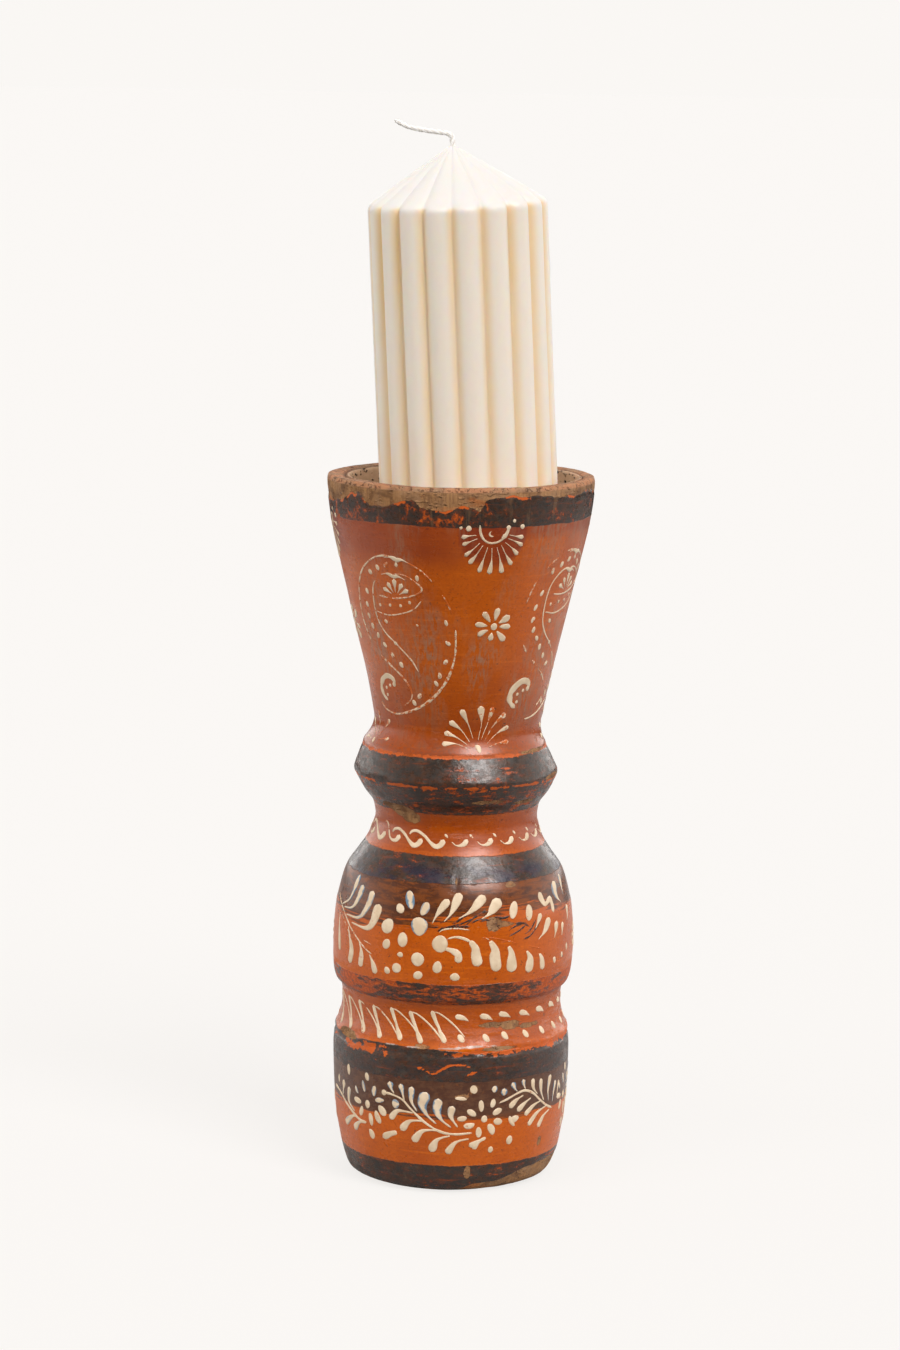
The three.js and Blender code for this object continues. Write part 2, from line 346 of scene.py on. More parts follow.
class StickSurface:
    """The turned stick as a grid of points: rows along the outline and columns around the axis."""

    def __init__(self):
        outline = stick_outline()
        lengths = path_lengths(outline)
        self.s = chosen_rows(outline)
        self.r = np.interp(self.s, lengths, outline[:, 0])
        self.z = np.interp(self.s, lengths, outline[:, 1])
        rim = int(np.argmax(outline[:, 1] >= RIM_BEGINS))
        self.outside_z = outline[: rim + 1, 1]
        self.outside_s = lengths[: rim + 1]
        azimuth = np.arange(COLUMNS) * 360 / COLUMNS - 180
        shape = (len(self.s), COLUMNS)
        spread = [np.broadcast_to(a[:, None], shape) for a in (self.s, self.r, self.z)]
        self.place = Place(np.broadcast_to(azimuth[None, :], shape), *spread, lengths[rim])
        self.fields = stick_fields(self.place)
        self.points = self.shaped()
        self.normals = self.grid_normals()

    def worn_radius(self):
        """Radii after the lathe's warp, chips, worn edges, the crusty shoulder and torn end grain."""
        p, f = self.place, self.fields
        skin = (p.s < p.rim_s + RIM_WEAR_END) & (p.r > 30)
        r = p.r + skin * (WARP * p.noise(34, 11, 1, 2) + RIPPLE * p.noise(5, 12))
        r = r - skin * (BARE_DEPTH * f["bare"] + FLAKE_DEPTH * f["flake"])
        r = r - skin * RIM_WEAR * ramp(p.noise(7, 13), 0.28, 0.6) * ramp(p.z, 274, 279)
        r = r - NOSE_WEAR * p.near(COLLAR_NOSE, 1.6) * ramp(p.noise(9, 14, 0.6), 0.05, 0.5)
        r = r + p.near(SHOULDER_CRUST, 2.0) * p.outer * CRUST_HEIGHT * p.noise(3.6, 15, 1.3)
        crevice = p.near(SHOULDER_CREVICE + 0.8 * p.noise(6, 37, 0, 2), 0.5) * p.outer
        r = r - CREVICE_DEPTH * crevice + LIP_HEIGHT * p.near(SHOULDER_LIP, 0.7) * p.outer
        foot = ramp(p.z, 9, 0) * (p.s > 20) * (p.s < 80)
        right = ramp(p.azimuth, -5, 30) * ramp(p.azimuth, 120, 80)
        r = r - foot * (FOOT_WEAR_RIGHT * right + FOOT_WEAR) * (0.75 + 0.5 * p.noise(9, 16))
        r = r + f["torn"] * TEAR_OUT * p.noise(2.6, 17, 0.35)
        left = np.maximum(0, -np.sin(np.radians(p.azimuth)))
        return r + LEDGE_SWELL * p.near(LEDGE, 4.5) * p.outer * left

    def worn_height(self):
        """Heights after the torn end grain, the rim's sag and the ring scored into it."""
        p, f = self.place, self.fields
        z = p.z + f["torn"] * TEAR_UP * p.noise(2.2, 18) * ramp(p.z, 270, 279)
        ring = np.exp(-((p.r - RING_RADIUS) / 0.5) ** 2) * f["rim_top"]
        return z - RIM_SAG * f["rim_top"] * (0.5 + p.noise(14, 19)) - RING_DEPTH * ring

    def shaped(self):
        """Grid positions, with the stick's drift from true and the recess's shift to the right."""
        p, r = self.place, self.worn_radius()
        shift = np.interp(p.z, *zip(*AXIS_DRIFT)) * (p.s < p.rim_s + RIM_WEAR_END)
        shift = shift + MOUTH_SHIFT * ramp(p.s, p.rim_s + 6, p.rim_s + 11)
        angle = np.radians(p.azimuth)
        return np.stack([r * np.sin(angle) + shift, -r * np.cos(angle), self.worn_height()], -1)

    def grid_normals(self):
        around = np.roll(self.points, -1, 1) - np.roll(self.points, 1, 1)
        along = np.gradient(self.points, axis=0)
        n = np.cross(around, along)
        return n / np.maximum(np.linalg.norm(n, axis=-1, keepdims=True), 1e-9)

    def s_at(self, height):
        """Arc length on the outside at a height."""
        return float(np.interp(height, self.outside_z, self.outside_s))

    def radius_at(self, s):
        return np.interp(s, self.s, self.r)

    def on(self, azimuth, s, lift):
        """Positions lifted off the surface at azimuths and arc lengths."""
        row = np.clip(np.searchsorted(self.s, s) - 1, 0, len(self.s) - 2)
        down = (s - self.s[row]) / (self.s[row + 1] - self.s[row])
        column = (azimuth + 180) % 360 * COLUMNS / 360
        left = np.floor(column).astype(int) % COLUMNS
        side = column - np.floor(column)
        right = (left + 1) % COLUMNS
        result = 0
        for grid, gain in ((self.points, 1), (self.normals, lift[:, None])):
            upper = grid[row, left] * (1 - side)[:, None] + grid[row, right] * side[:, None]
            lower = grid[row + 1, left] * (1 - side)[:, None] + grid[row + 1, right] * side[:, None]
            result = result + (upper * (1 - down)[:, None] + lower * down[:, None]) * gain
        return result


# ---------------------------------------------------------------- where paint and wear lie
# Black lacquer bands, from and to, in height.
BLACK_BANDS = [(-2, 12.2), (46.8, 59.0), (77.0, 85.6), (124.4, 134.0), (149.8, 172.6), (264.6, 283)]
BARREL_BROWN = (31.8, 50.0)
BELLY_BROWN_TOP = 128.0
# How far down the belly's brown wash reaches at each azimuth.
BELLY_BROWN_REACH = [(-180, 110), (-95, 112), (-70, 107), (-16, 107.5), (-4, 111), (12, 112.5),
                     (45, 113.5), (80, 110), (120, 107), (165, 112), (180, 110)]

# Places where the paint has gone down to the wood: azimuth, height, half width and half height.
BARE_PATCHES = [
    (-50, 151.5, 6.0, 1.6), (-40, 149.8, 6.0, 2.4), (-33, 147.6, 4.0, 2.2),
    (19.5, 108.8, 3.2, 3.0), (23, 109.0, 5.6, 1.3), (1, 124.8, 0.6, 1.9), (30.7, 123.4, 2.6, 1.4),
    (22, 68.4, 5.2, 1.5), (31, 67.6, 6.5, 1.4), (44, 66.4, 5.5, 1.1), (55, 69.0, 5.0, 0.9),
    (52, 18.3, 1.5, 2.6), (9.4, 8.8, 1.5, 3.2), (-64, 59.6, 7.5, 1.7), (-14, 60.0, 3.5, 1.0),
    (11.3, 43.7, 2.3, 1.6), (5.5, 40.3, 2.6, 1.2), (24, 59.2, 9.0, 0.9), (60, 173.3, 10.0, 0.8),
    (72, 162.4, 9.0, 1.1), (48, 154.0, 6.0, 0.9), (20, 155.2, 8.0, 0.8), (-58, 59.0, 3, 1.2),
    (-126, 206, 3.0, 4.0), (148, 232, 2.0, 5.0), (-150, 108, 4.0, 1.6), (168, 60, 12, 1.4),
    (-100, 161.8, 8, 1.1), (128, 70, 6, 1.2), (-142, 12, 3, 4), (104, 9, 6, 3), (176, 150.5, 5, 1.8),
]

# Where the rim's black paint ends and bare wood begins, as (azimuth, height) points.
RIM_LINE = [(-180, 272), (-140, 275), (-110, 271), (-76, 270.4), (-63, 271.8), (-54, 274.8), (-48, 274.2),
            (-42, 271.4), (-34, 272), (-25, 274.3), (-21, 275), (-17, 271.3), (-9, 269.9), (0, 272.3),
            (5, 271.8), (8.3, 270.6), (11, 275.4), (20, 276.4), (62, 275), (68, 276.3), (95, 273),
            (130, 271), (160, 274), (180, 272)]

# A crack in the lower black band and the two drips below it, as (azimuth, height) points.
CRACK = [(-16, 51.6), (-11, 50.8), (-7, 50.4), (-3.5, 52.2), (-0.4, 53.9), (4, 53.6), (9.2, 52.9)]
CRACK_DRIPS = [(8.5, 49.5), (12.5, 50.5)]

# How easily the black wears through below each height, and above the last.
WEAR_BELOW = [(14, 0.20), (60, 0.17), (88, 0.40), (136, 0.17), (160, 0.30), (175, 0.24)]
WEAR_ABOVE = 0.24
# Azimuths of the two rubbed places on the collar.
RUBBED_AT = (2, 33)

# Painted shade in the hollows of the turning: each one's depth of tone, with the heights where it begins,
# is full, stays full and ends.
SHADED_HOLLOWS = [(0.75, 131, 138, 147, 153), (0.8, 171, 174, 178, 214), (0.35, 59, 63, 74, 80)]
# Strength, height and half width of the darkened corners of the turning.
DARKENED_CORNERS = [(1, 175.5, 2.2), (0.6, 77.2, 1.4), (0.5, 150, 2.0), (0.4, 64, 2.5)]
# Strength, azimuth, height, half turn and half height of the cup's dusty places.
DUSTY_SPOTS = [(0.9, 9, 210, 8, 14), (0.6, -28, 180, 14, 5), (0.35, -32, 222, 26, 22)]
# Azimuths of the sunbursts on the cup.
SUNBURSTS = [14.2, -85, 104, -172]
SUNBURST_HEIGHT = 263


def patch_field(p, patches):
    """How deep each point is inside ragged oval patches: 0.5 on their edges and 1 well inside."""
    edge = p.noise(4.0, 21)
    field = np.zeros_like(p.z)
    for centre, height, half_width, half_height in patches:
        u = np.radians(turn_between(p.azimuth, centre)) * p.r
        inside = 1 - np.hypot(u / half_width, (p.z - height) / half_height) + 0.45 * edge
        field = np.maximum(field, 0.5 + inside * min(half_width, half_height) / 1.6)
    return np.clip(field, 0, 1)


def line_field(p, z, points, half_width, radius=45):
    """1 on a line of (azimuth, height) points and 0 beyond its half width."""
    field = np.zeros_like(z)
    for (a0, z0), (a1, z1) in zip(points, points[1:]):
        ux, uz = math.radians(a1 - a0) * radius, z1 - z0
        px, pz = np.radians(turn_between(p.azimuth, a0)) * p.r, z - z0
        t = np.clip((px * ux + pz * uz) / (ux * ux + uz * uz), 0, 1)
        field = np.maximum(field, 1 - np.hypot(px - t * ux, pz - t * uz) / half_width)
    return np.clip(field, 0, 1)


def band_depth(z, bands):
    """Height inside the nearest band in millimetres: positive inside, negative outside."""
    return np.max([np.minimum(z - low, high - z) for low, high in bands], axis=0)


def bare_field(p):
    """Bare wood: above the rim's paint, round the foot, in patches, and all of both ends."""
    soft = 1.4
    rim = np.clip(0.5 + (p.z - p.rim_edge) / soft, 0, 1) * p.outside
    worn_right = 3.6 * ramp(p.azimuth, 2, 14) + 4.6 * ramp(p.azimuth, 22, 50)
    foot_edge = 1.0 + worn_right * ramp(p.azimuth, 118, 86) + 1.1 * p.noise(11, 26, 0)
    foot = np.clip(0.5 + (foot_edge - p.z) / soft, 0, 1) * (p.s < 90)
    ends = (p.s >= p.rim_s + RIM_PAINT_END) | (p.s <= FOOT_FLAT - 0.5)
    return np.maximum.reduce([rim, foot, patch_field(p, BARE_PATCHES) * p.outside, ends * 1.0])


def scab_field(p):
    """Crusts of flaking paint on the left and right of the lower shoulder."""
    left = ramp(p.azimuth, -78, -62) * ramp(p.azimuth, -22, -36) * ramp(p.z, 51, 54) * ramp(p.z, 60, 58)
    right = ramp(p.azimuth, 12, 26) * ramp(p.azimuth, 100, 70) * ramp(p.z, 55, 57) * ramp(p.z, 61, 60)
    return np.maximum(left, right) * (0.40 + 1.1 * p.noise(4.2, 39, 1.8))


def flake_field(p):
    """Orange flakes: on the ledge, the collar's nose, the shoulder, the crack and the rim's edge."""
    ledge = 0.95 * p.near(172.9, 1.0) * (0.75 + 0.5 * p.torn_line)
    nose = p.near(161.3 + 0.3 * p.around, 0.65) * (0.92 + 0.8 * p.torn_line)
    shoulder = p.near(57.2 + p.jag, 1.5) * (0.42 + 0.45 * p.crusty + 0.8 * p.noise(5, 28, 1.6))
    crack = 1.25 * line_field(p, p.z + 0.9 * p.noise(4, 35, 0, 2), CRACK, 0.75)
    drips = 0.9 * line_field(p, p.z, CRACK_DRIPS, 1.4)
    streaks = p.near(159.6, 1.5) + 0.8 * p.near(151, 0.9)
    streaks = streaks * (0.33 + p.noise(13, 36, 5.0))
    rim = np.clip(1.25 - np.abs(p.z - p.rim_edge + 0.2) / 1.1, 0, 1) * ramp(p.noise(6, 29, 0), -0.1, 0.4)
    flakes = [ledge, nose, shoulder, scab_field(p), crack, drips, streaks, rim]
    return np.clip(np.maximum.reduce(flakes), 0, 1) * p.outside


def brown_field(p, wobble):
    """Depth inside the belly's brown wash or the barrel's."""
    reach = np.interp(p.azimuth, *zip(*BELLY_BROWN_REACH)) + 1.6 * p.noise(8, 33, 0)
    on_belly = np.minimum((p.z - reach) * 0.5, BELLY_BROWN_TOP - p.z)
    return np.maximum(on_belly, band_depth(p.z + wobble, [BARREL_BROWN]))


def wear_field(p):
    """How easily the black wears through to orange."""
    z, azimuth = p.z, p.azimuth
    wear = np.select([z < top for top, _ in WEAR_BELOW], [amount for _, amount in WEAR_BELOW], WEAR_ABOVE)
    wear = wear + 0.12 * ramp(np.abs(azimuth), 20, 50) * ((z > 76) & (z < 88))
    wear = wear + 0.07 * (z > 262) * ramp(azimuth, 8, -4)
    wear = wear + 0.17 * p.noise(24, 30, 2.2) - 0.07 * (z > 163) * (z < 175)
    for centre in RUBBED_AT:
        wear = wear + 0.27 * np.exp(-((azimuth - centre) / 8) ** 2 - ((z - 166.5) / 3.5) ** 2)
    return wear


def hollow_shade_field(p):
    """Painted shade in the hollows of the turning, where the orange is darkened."""
    hollow_shade_mask = 0
    for tone, begins, full, stays, ends in SHADED_HOLLOWS:
        hollow_shade_mask = hollow_shade_mask + tone * ramp(p.z, begins, full) * ramp(p.z, ends, stays)
    return np.clip(hollow_shade_mask, 0, 1) * p.outside


def lip_highlight_field(p):
    """A painted highlight along the lip on the front of the lower shoulder."""
    lip = p.near(59.9 + 0.4 * p.jag, 0.55) * (0.5 + 0.9 * p.noise(5, 38))
    return np.clip(lip * ramp(p.azimuth, -60, -30) * ramp(p.azimuth, 60, 25), 0, 1) * p.outside


def crimson_field(p):
    """Crimson tint: a soft zone at the cup's upper left, a line under the band, and the sunbursts."""
    zone = 0.68 * ramp(p.z, 244.5, 255) * ramp(p.z, 266, 264) * ramp(turn_between(p.azimuth, 6), 6, -14)
    crimson = np.maximum(zone, 0.6 * ramp(p.z, 258, 262) * ramp(p.z, 266, 264))
    for centre in SUNBURSTS:
        u = np.radians(turn_between(p.azimuth, centre)) * p.r
        disc = ramp(np.hypot(u, p.z - SUNBURST_HEIGHT), 14.8, 13.0) * (p.z < SUNBURST_HEIGHT + 2)
        crimson = np.maximum(crimson, disc)
    return np.clip(crimson * (0.9 + 0.3 * p.noise(16, 31)), 0, 1)


def dust_field(p):
    """Grey-brown dust rubbed into the cup."""
    dust = 0.16 + 1.6 * p.noise(12, 32, 0.5)
    for strength, azimuth, height, half_turn, half_height in DUSTY_SPOTS:
        dust = dust + strength * p.spot(azimuth, height, half_turn, half_height)
    return np.clip(dust, 0, 1.4) * (p.z > 176) * p.outside


def corner_darkening_field(p):
    """Darker colour in the corners of the turning."""
    corner_darkening = sum(strength * p.near(height, half) for strength, height, half in DARKENED_CORNERS)
    return np.clip(corner_darkening * (0.6 + 0.5 * p.torn_line), 0, 1) * p.outside


def ring_field(p):
    """The two dark rings on the rim's top."""
    inner = np.exp(-((p.r - RING_RADIUS - 0.2 * p.around) / 0.55) ** 2)
    outer = np.exp(-((p.r - OUTER_RING_RADIUS) / 0.5) ** 2) * (0.35 + 1.1 * p.torn_line)
    return np.clip(inner + outer, 0, 1)


def stick_fields(p):
    """What covers each point: bands, chips, tints and dust, with painted shade in the hollows and a
    painted highlight on the lip, as numbers on the points.
    """
    def depth(inside):
        return np.clip(inside, -4, 4) * p.outside - 4.0 * ~p.outside

    wobble = 0.45 * p.around + 0.25 * p.noise(7, 23, 0.3)
    rim_top = ((p.s > p.rim_s + RIM_PAINT_END) & (p.z > 278.0)).astype(float)
    shade = ramp(p.z, 118, 125) * ramp(p.z, 133, 127) + 0.15 * (p.z > 46) * (p.z < 58)
    return {
        "black": depth(band_depth(p.z + wobble + p.jag * (abs(p.z - 58) < 4), BLACK_BANDS)),
        "brown": depth(brown_field(p, wobble)),
        "bare": bare_field(p),
        "flake": flake_field(p),
        "wear": wear_field(p),
        "crimson": crimson_field(p),
        "dust": dust_field(p),
        "corner_darkening": corner_darkening_field(p),
        "torn": ((p.s > p.rim_s + RECESS_BEGINS) & (p.z > RECESS_FLOOR - 1)).astype(float),
        "shade": shade * p.outside,
        "inner": 1.0 * ~p.outside,
        "upper": ramp(p.z, 262, 266) * p.outside,
        "barrel": ramp(p.z, 30, 34) * ramp(p.z, 50, 47) * p.outside,
        "hollow_shade_mask": hollow_shade_field(p),
        "lip_highlight": lip_highlight_field(p),
        "rim_top": rim_top,
        "ring": rim_top * ring_field(p),
    }


def placed(name, data):
    """A new object in the scene that holds some data."""
    made = bpy.data.objects.new(name, data)
    bpy.context.scene.collection.objects.link(made)
    return made


def grid_mesh(name, points, attributes, closed_ends):
    """A closed body from a grid of rings, with a point at each end of the axis."""
    rows, columns = points.shape[:2]
    index = np.arange(rows * columns).reshape(rows, columns)
    following = np.roll(index, -1, 1)
    quads = np.stack([index[:-1], following[:-1], following[1:], index[1:]], -1).reshape(-1, 4)
    vertices = np.vstack([points.reshape(-1, 3), closed_ends])
    first, last = rows * columns, rows * columns + 1
    faces = quads.tolist()
    faces += [[first, following[0, i], index[0, i]] for i in range(columns)]
    faces += [[last, index[-1, i], following[-1, i]] for i in range(columns)]
    mesh = bpy.data.meshes.new(name)
    mesh.from_pydata((vertices * MM).tolist(), [], [[int(i) for i in f] for f in faces])
    for key, values in attributes.items():
        flat = np.append(values.reshape(-1), [values[0].mean(), values[-1].mean()])
        mesh.attributes.new(key, "FLOAT", "POINT").data.foreach_set("value", flat.astype(np.float32))
    return finished_object(name, mesh)


def finished_object(name, mesh):
    mesh.validate()
    mesh.shade_smooth()
    return placed(name, mesh)


# ---------------------------------------------------------------- material nodes
class Finish:
    """A material with its Principled shader and short calls for the nodes that feed it."""

    def __init__(self, name):
        self.material = bpy.data.materials.new(name)
        self.material.use_nodes = True
        self.nodes = self.material.node_tree.nodes
        self.links = self.material.node_tree.links
        self.shader = self.nodes["Principled BSDF"]
        self.object_coords = self.nodes.new("ShaderNodeTexCoord").outputs["Object"]

    def feed(self, value, socket):
        if isinstance(value, bpy.types.NodeSocket):
            self.links.new(value, socket)
        elif isinstance(value, tuple) and socket.type == "RGBA":
            socket.default_value = (*value, 1)
        else:
            socket.default_value = value

    def field(self, name):
        """Numbers stored on the mesh's points."""
        made = self.nodes.new("ShaderNodeAttribute")
        made.attribute_name = name
        return made.outputs["Fac"]

    def stretched(self, scale):
        """Object coordinates multiplied by one scale or by one for each axis, per metre."""
        made = self.nodes.new("ShaderNodeMapping")
        self.feed(self.object_coords, made.inputs["Vector"])
        made.inputs["Scale"].default_value = scale if isinstance(scale, tuple) else (scale,) * 3
        return made.outputs["Vector"]

    def noise(self, scale, detail=3.0, rough=0.55, distortion=0.0):
        made = self.nodes.new("ShaderNodeTexNoise")
        self.feed(self.stretched(scale), made.inputs["Vector"])
        made.inputs["Scale"].default_value = 1
        made.inputs["Detail"].default_value = detail
        made.inputs["Roughness"].default_value = rough
        made.inputs["Distortion"].default_value = distortion
        return made.outputs["Fac"]

    def cells(self, scale):
        made = self.nodes.new("ShaderNodeTexVoronoi")
        self.feed(self.stretched(scale), made.inputs["Vector"])
        made.inputs["Scale"].default_value = 1
        return made.outputs["Distance"]

    def math(self, operation, a, b, clamp=False):
        made = self.nodes.new("ShaderNodeMath")
        made.operation = operation
        made.use_clamp = clamp
        self.feed(a, made.inputs[0])
        self.feed(b, made.inputs[1])
        return made.outputs[0]

    def times(self, a, b, clamp=False):
        return self.math("MULTIPLY", a, b, clamp)

    def plus(self, a, b):
        return self.math("ADD", a, b)

    def minus(self, a, b):
        return self.math("SUBTRACT", a, b)

    def highest(self, a, b):
        return self.math("MAXIMUM", a, b)

    def ramp(self, value, low, high, to_low=0.0, to_high=1.0):
        made = self.nodes.new("ShaderNodeMapRange")
        made.interpolation_type = "SMOOTHSTEP"
        for number, socket in zip((value, low, high, to_low, to_high), made.inputs):
            self.feed(number, socket)
        return made.outputs["Result"]

    def mix(self, factor, a, b, blend="MIX"):
        made = self.nodes.new("ShaderNodeMix")
        made.data_type = "RGBA"
        made.blend_type = blend
        self.feed(factor, made.inputs["Factor"])
        self.feed(a, made.inputs[6])
        self.feed(b, made.inputs[7])
        return made.outputs[2]

    def coat(self, under, colour, mask, strength):
        """A colour laid over another where a mask is 1, as strongly as given."""
        return self.mix(self.times(mask, strength), under, colour)

    def dapple(self, under, colour, noise, low, high, strength=1.0):
        """A colour laid over another where a noise climbs from low to high."""
        return self.mix(self.ramp(noise, low, high, 0.0, strength), under, colour)

    def bump(self, height, strength, distance, under=None):
        made = self.nodes.new("ShaderNodeBump")
        made.inputs["Strength"].default_value = strength
        made.inputs["Distance"].default_value = distance
        self.feed(height, made.inputs["Height"])
        if under is not None:
            self.feed(under, made.inputs["Normal"])
        return made.outputs["Normal"]

    def finish(self, **inputs):
        for name, value in inputs.items():
            self.feed(value, self.shader.inputs[name.replace("_", " ")])
        return self.material


class WoodPaint(Finish):
    """The stick's layers of paint, from the orange ground up, with the noises that they share."""

    def __init__(self, name):
        super().__init__(name)
        self.fine = self.noise(900, 4, 0.6)
        self.speck = self.noise(520, 3, 0.7)
        self.ragged = self.minus(self.noise(430, 4, 0.65), 0.5)
        self.streaks = self.noise((55, 55, 900), 4, 0.6, 0.3)
        self.mottled = self.noise((260, 260, 420), 5, 0.75)
        self.long_grain = self.noise((820, 820, 26), 5, 0.65, 0.2)
        pores = self.ramp(self.cells((360, 360, 760)), 0.43, 0.27)
        self.pored = self.times(pores, self.ramp(self.noise(230, 2), 0.42, 0.54))

    def ragged_edge(self, field, amount):
        """A stored depth whose edge is made ragged by noise."""
        return self.plus(self.field(field), self.times(self.ragged, amount))

    def orange_ground(self):
        """Orange lacquer, with lathe streaks, clouds, specks, crimson tints and dust, and painted shade in
        the hollows.
        """
        clouds = self.noise((42, 42, 30), 4, 0.55)
        colour = self.mix(self.ramp(clouds, 0.28, 0.60, 0.45, 1.0), ORANGE_DEEP, ORANGE)
        colour = self.dapple(colour, ORANGE_BRIGHT, self.streaks, 0.50, 0.72, 0.65)
        colour = self.dapple(colour, ORANGE_DEEP, self.noise((760, 760, 1150), 3, 0.6), 0.56, 0.68, 0.55)
        colour = self.dapple(colour, BLACK_BROWN, self.speck, 0.645, 0.71, 0.80)
        colour = self.dapple(colour, CHIP_TAN, self.noise((340, 340, 900), 4, 0.65), 0.69, 0.74, 0.55)
        crimson = self.times(self.field("crimson"), self.ramp(self.streaks, 0.25, 0.6, 0.7, 1.0))
        colour = self.coat(colour, CRIMSON, crimson, 0.94)
        scratches = self.noise((640, 640, 34), 2, 0.5, 1.2)
        dusty = self.times(self.field("dust"), self.ramp(scratches, 0.38, 0.62))
        colour = self.mix(self.times(dusty, 0.52, clamp=True), colour, DUST)
        colour = self.dapple(colour, ORANGE_DEEP, self.fine, 0.42, 0.64, 0.28)
        # Painted shade: the hollows of the turning are darkened.
        return self.mix(self.field("hollow_shade_mask"), colour, HOLLOW_PAINTED_SHADE, "MULTIPLY")

    def brown_wash(self, under):
        """Brown overpaint on the belly and barrel, brushed out thin at its lower edge."""
        brush = self.times(self.minus(self.streaks, 0.5), 11.0)
        depth = self.plus(self.field("brown"), self.plus(brush, self.times(self.ragged, 1.5)))
        patchy = self.noise((110, 110, 460), 5, 0.7, 0.5)
        brown = self.dapple(BROWN_DEEP, BROWN, patchy, 0.41, 0.61)
        wash = self.dapple(BARREL_WASH_DEEP, BARREL_WASH, self.mottled, 0.41, 0.60)
        brown = self.mix(self.field("barrel"), brown, wash)
        brown = self.dapple(brown, BROWN_SPECK, self.speck, 0.60, 0.70, 0.5)
        return self.coat(under, brown, self.ramp(depth, -0.4, 0.9), 0.90)

    def worn_through(self):
        """Masks of the black worn right through and of the black only rubbed."""
        blotches = self.noise((230, 230, 200), 6, 0.74, 0.3)
        flecks = self.mix(self.field("upper"), self.noise((150, 150, 560), 6, 0.74, 0.4), blotches)
        wear = self.field("wear")
        through = self.ramp(self.minus(self.times(wear, 0.62), flecks), -0.26, -0.18)
        return through, self.ramp(self.minus(self.times(wear, 0.5), flecks), -0.40, -0.22)

    def black_lacquer(self, through, rubbed):
        """Black with a grey film, bled orange, stains and a navy shade, and orange where it's worn."""
        black = self.dapple(BLACK, BLACK_BROWN, self.mottled, 0.40, 0.66)
        black = self.mix(self.times(rubbed, self.ramp(self.fine, 0.4, 0.62)), black, BLACK_RUBBED)
        black = self.dapple(black, BLACK_FILM, self.noise((190, 190, 260), 6, 0.75, 0.6), 0.50, 0.72, 0.26)
        black = self.dapple(black, BLACK_BLED, self.noise((60, 60, 700), 4, 0.6, 0.6), 0.60, 0.74, 0.55)
        runs = self.ramp(self.noise((330, 330, 24), 4, 0.6), 0.58, 0.70)
        black = self.coat(black, BLACK_STAIN, self.times(self.field("upper"), runs), 0.55)
        cloudy = self.ramp(self.noise((75, 75, 160), 3, 0.6), 0.42, 0.60, 0.0, 0.62)
        black = self.mix(self.times(self.field("shade"), cloudy), black, BLACK_NAVY)
        return self.mix(through, black, self.dapple(ORANGE_DEEP, FLAKE_ORANGE, self.fine, 0.42, 0.6))

    def bare_wood(self):
        """Old bare wood with its grain, grime and orange stains, and end grain on rim and recess."""
        wood = self.mix(self.ramp(self.long_grain, 0.30, 0.62, 0.35, 1.0), BARE_WOOD_DARK, BARE_WOOD)
        wood = self.dapple(wood, WOOD_FADED, self.noise((150, 150, 110), 5, 0.65), 0.40, 0.68, 0.75)
        wood = self.dapple(wood, WOOD_GRIME, self.noise((95, 95, 130), 5, 0.7, 0.4), 0.44, 0.62, 0.72)
        wood = self.dapple(wood, WOOD_STAIN, self.noise((70, 70, 240), 4, 0.65), 0.56, 0.68, 0.6)
        wood = self.dapple(wood, WOOD_SPECK, self.speck, 0.62, 0.70, 0.75)
        torn, rim_top = self.field("torn"), self.field("rim_top")
        return self.mix(self.highest(torn, rim_top), wood, self.end_grain(torn, rim_top))

    def end_grain(self, torn, rim_top):
        """Torn end grain, with pores, pits, remains of orange and the rim's dark rings; the recess wall is
        paler, partly as painted light against the recess's shade.
        """
        wood = self.dapple(END_GRAIN_DARK, END_GRAIN, self.noise(190, 5, 0.7), 0.34, 0.58)
        remains = self.ramp(self.noise(85, 5, 0.65), 0.42, 0.58)
        wood = self.coat(wood, RIM_ORANGE, self.times(remains, rim_top), 0.75)
        ring = self.times(self.field("ring"), self.ramp(self.fine, 0.25, 0.45))
        wood = self.coat(wood, RIM_RING, ring, 0.92)
        wood = self.coat(wood, RIM_PIT, self.times(rim_top, self.ramp(self.speck, 0.52, 0.60)), 0.8)
        # The recess wall made paler: pale end grain, and painted light against the recess's shade.
        wood = self.coat(wood, RECESS_PAINTED_LIGHT, torn, 0.62)
        return self.mix(self.times(self.pored, torn), wood, PORE)

    def chip_depth(self):
        """Depth inside the bare places, less the islands of paint left standing in them."""
        islands = self.ramp(self.noise((120, 120, 150), 5, 0.7, 0.3), 0.60, 0.66, 0.0, 0.62)
        islands = self.times(islands, self.minus(1.0, self.field("inner")))
        return self.minus(self.ragged_edge("bare", 0.55), islands)

    def surface_relief(self, bare, black, through):
        """Steps at the layers' edges, turning marks, grain in bare wood and pebbled black."""
        normal = self.bump(self.minus(1.0, bare), 0.8, 0.00035)
        normal = self.bump(self.minus(black, self.times(through, 0.8)), 0.35, 0.00015, normal)
        normal = self.bump(self.noise((26, 26, 1300), 3, 0.6), 0.14, 0.00025, normal)
        grain = self.times(self.plus(self.long_grain, self.pored), bare)
        normal = self.bump(grain, 0.8, 0.0006, normal)
        pebbles = self.times(self.noise((480, 480, 560), 4, 0.6), black)
        normal = self.bump(pebbles, 0.42, 0.00035, normal)
        return self.bump(self.fine, 0.2, 0.00016, normal)

    def gloss(self, bare, black, flaked):
        """Roughness: lacquer is satin and uneven, flaked places and wood are dull."""
        rough = self.ramp(self.noise(70, 4, 0.6), 0.35, 0.7, 0.24, 0.38)
        black_rough = self.ramp(self.noise((230, 230, 330), 5, 0.7), 0.36, 0.64, 0.17, 0.44)
        rough = self.mix(black, rough, black_rough)
        rough = self.mix(flaked, rough, FLAKE_ROUGH)
        return self.mix(bare, rough, WOOD_ROUGH)


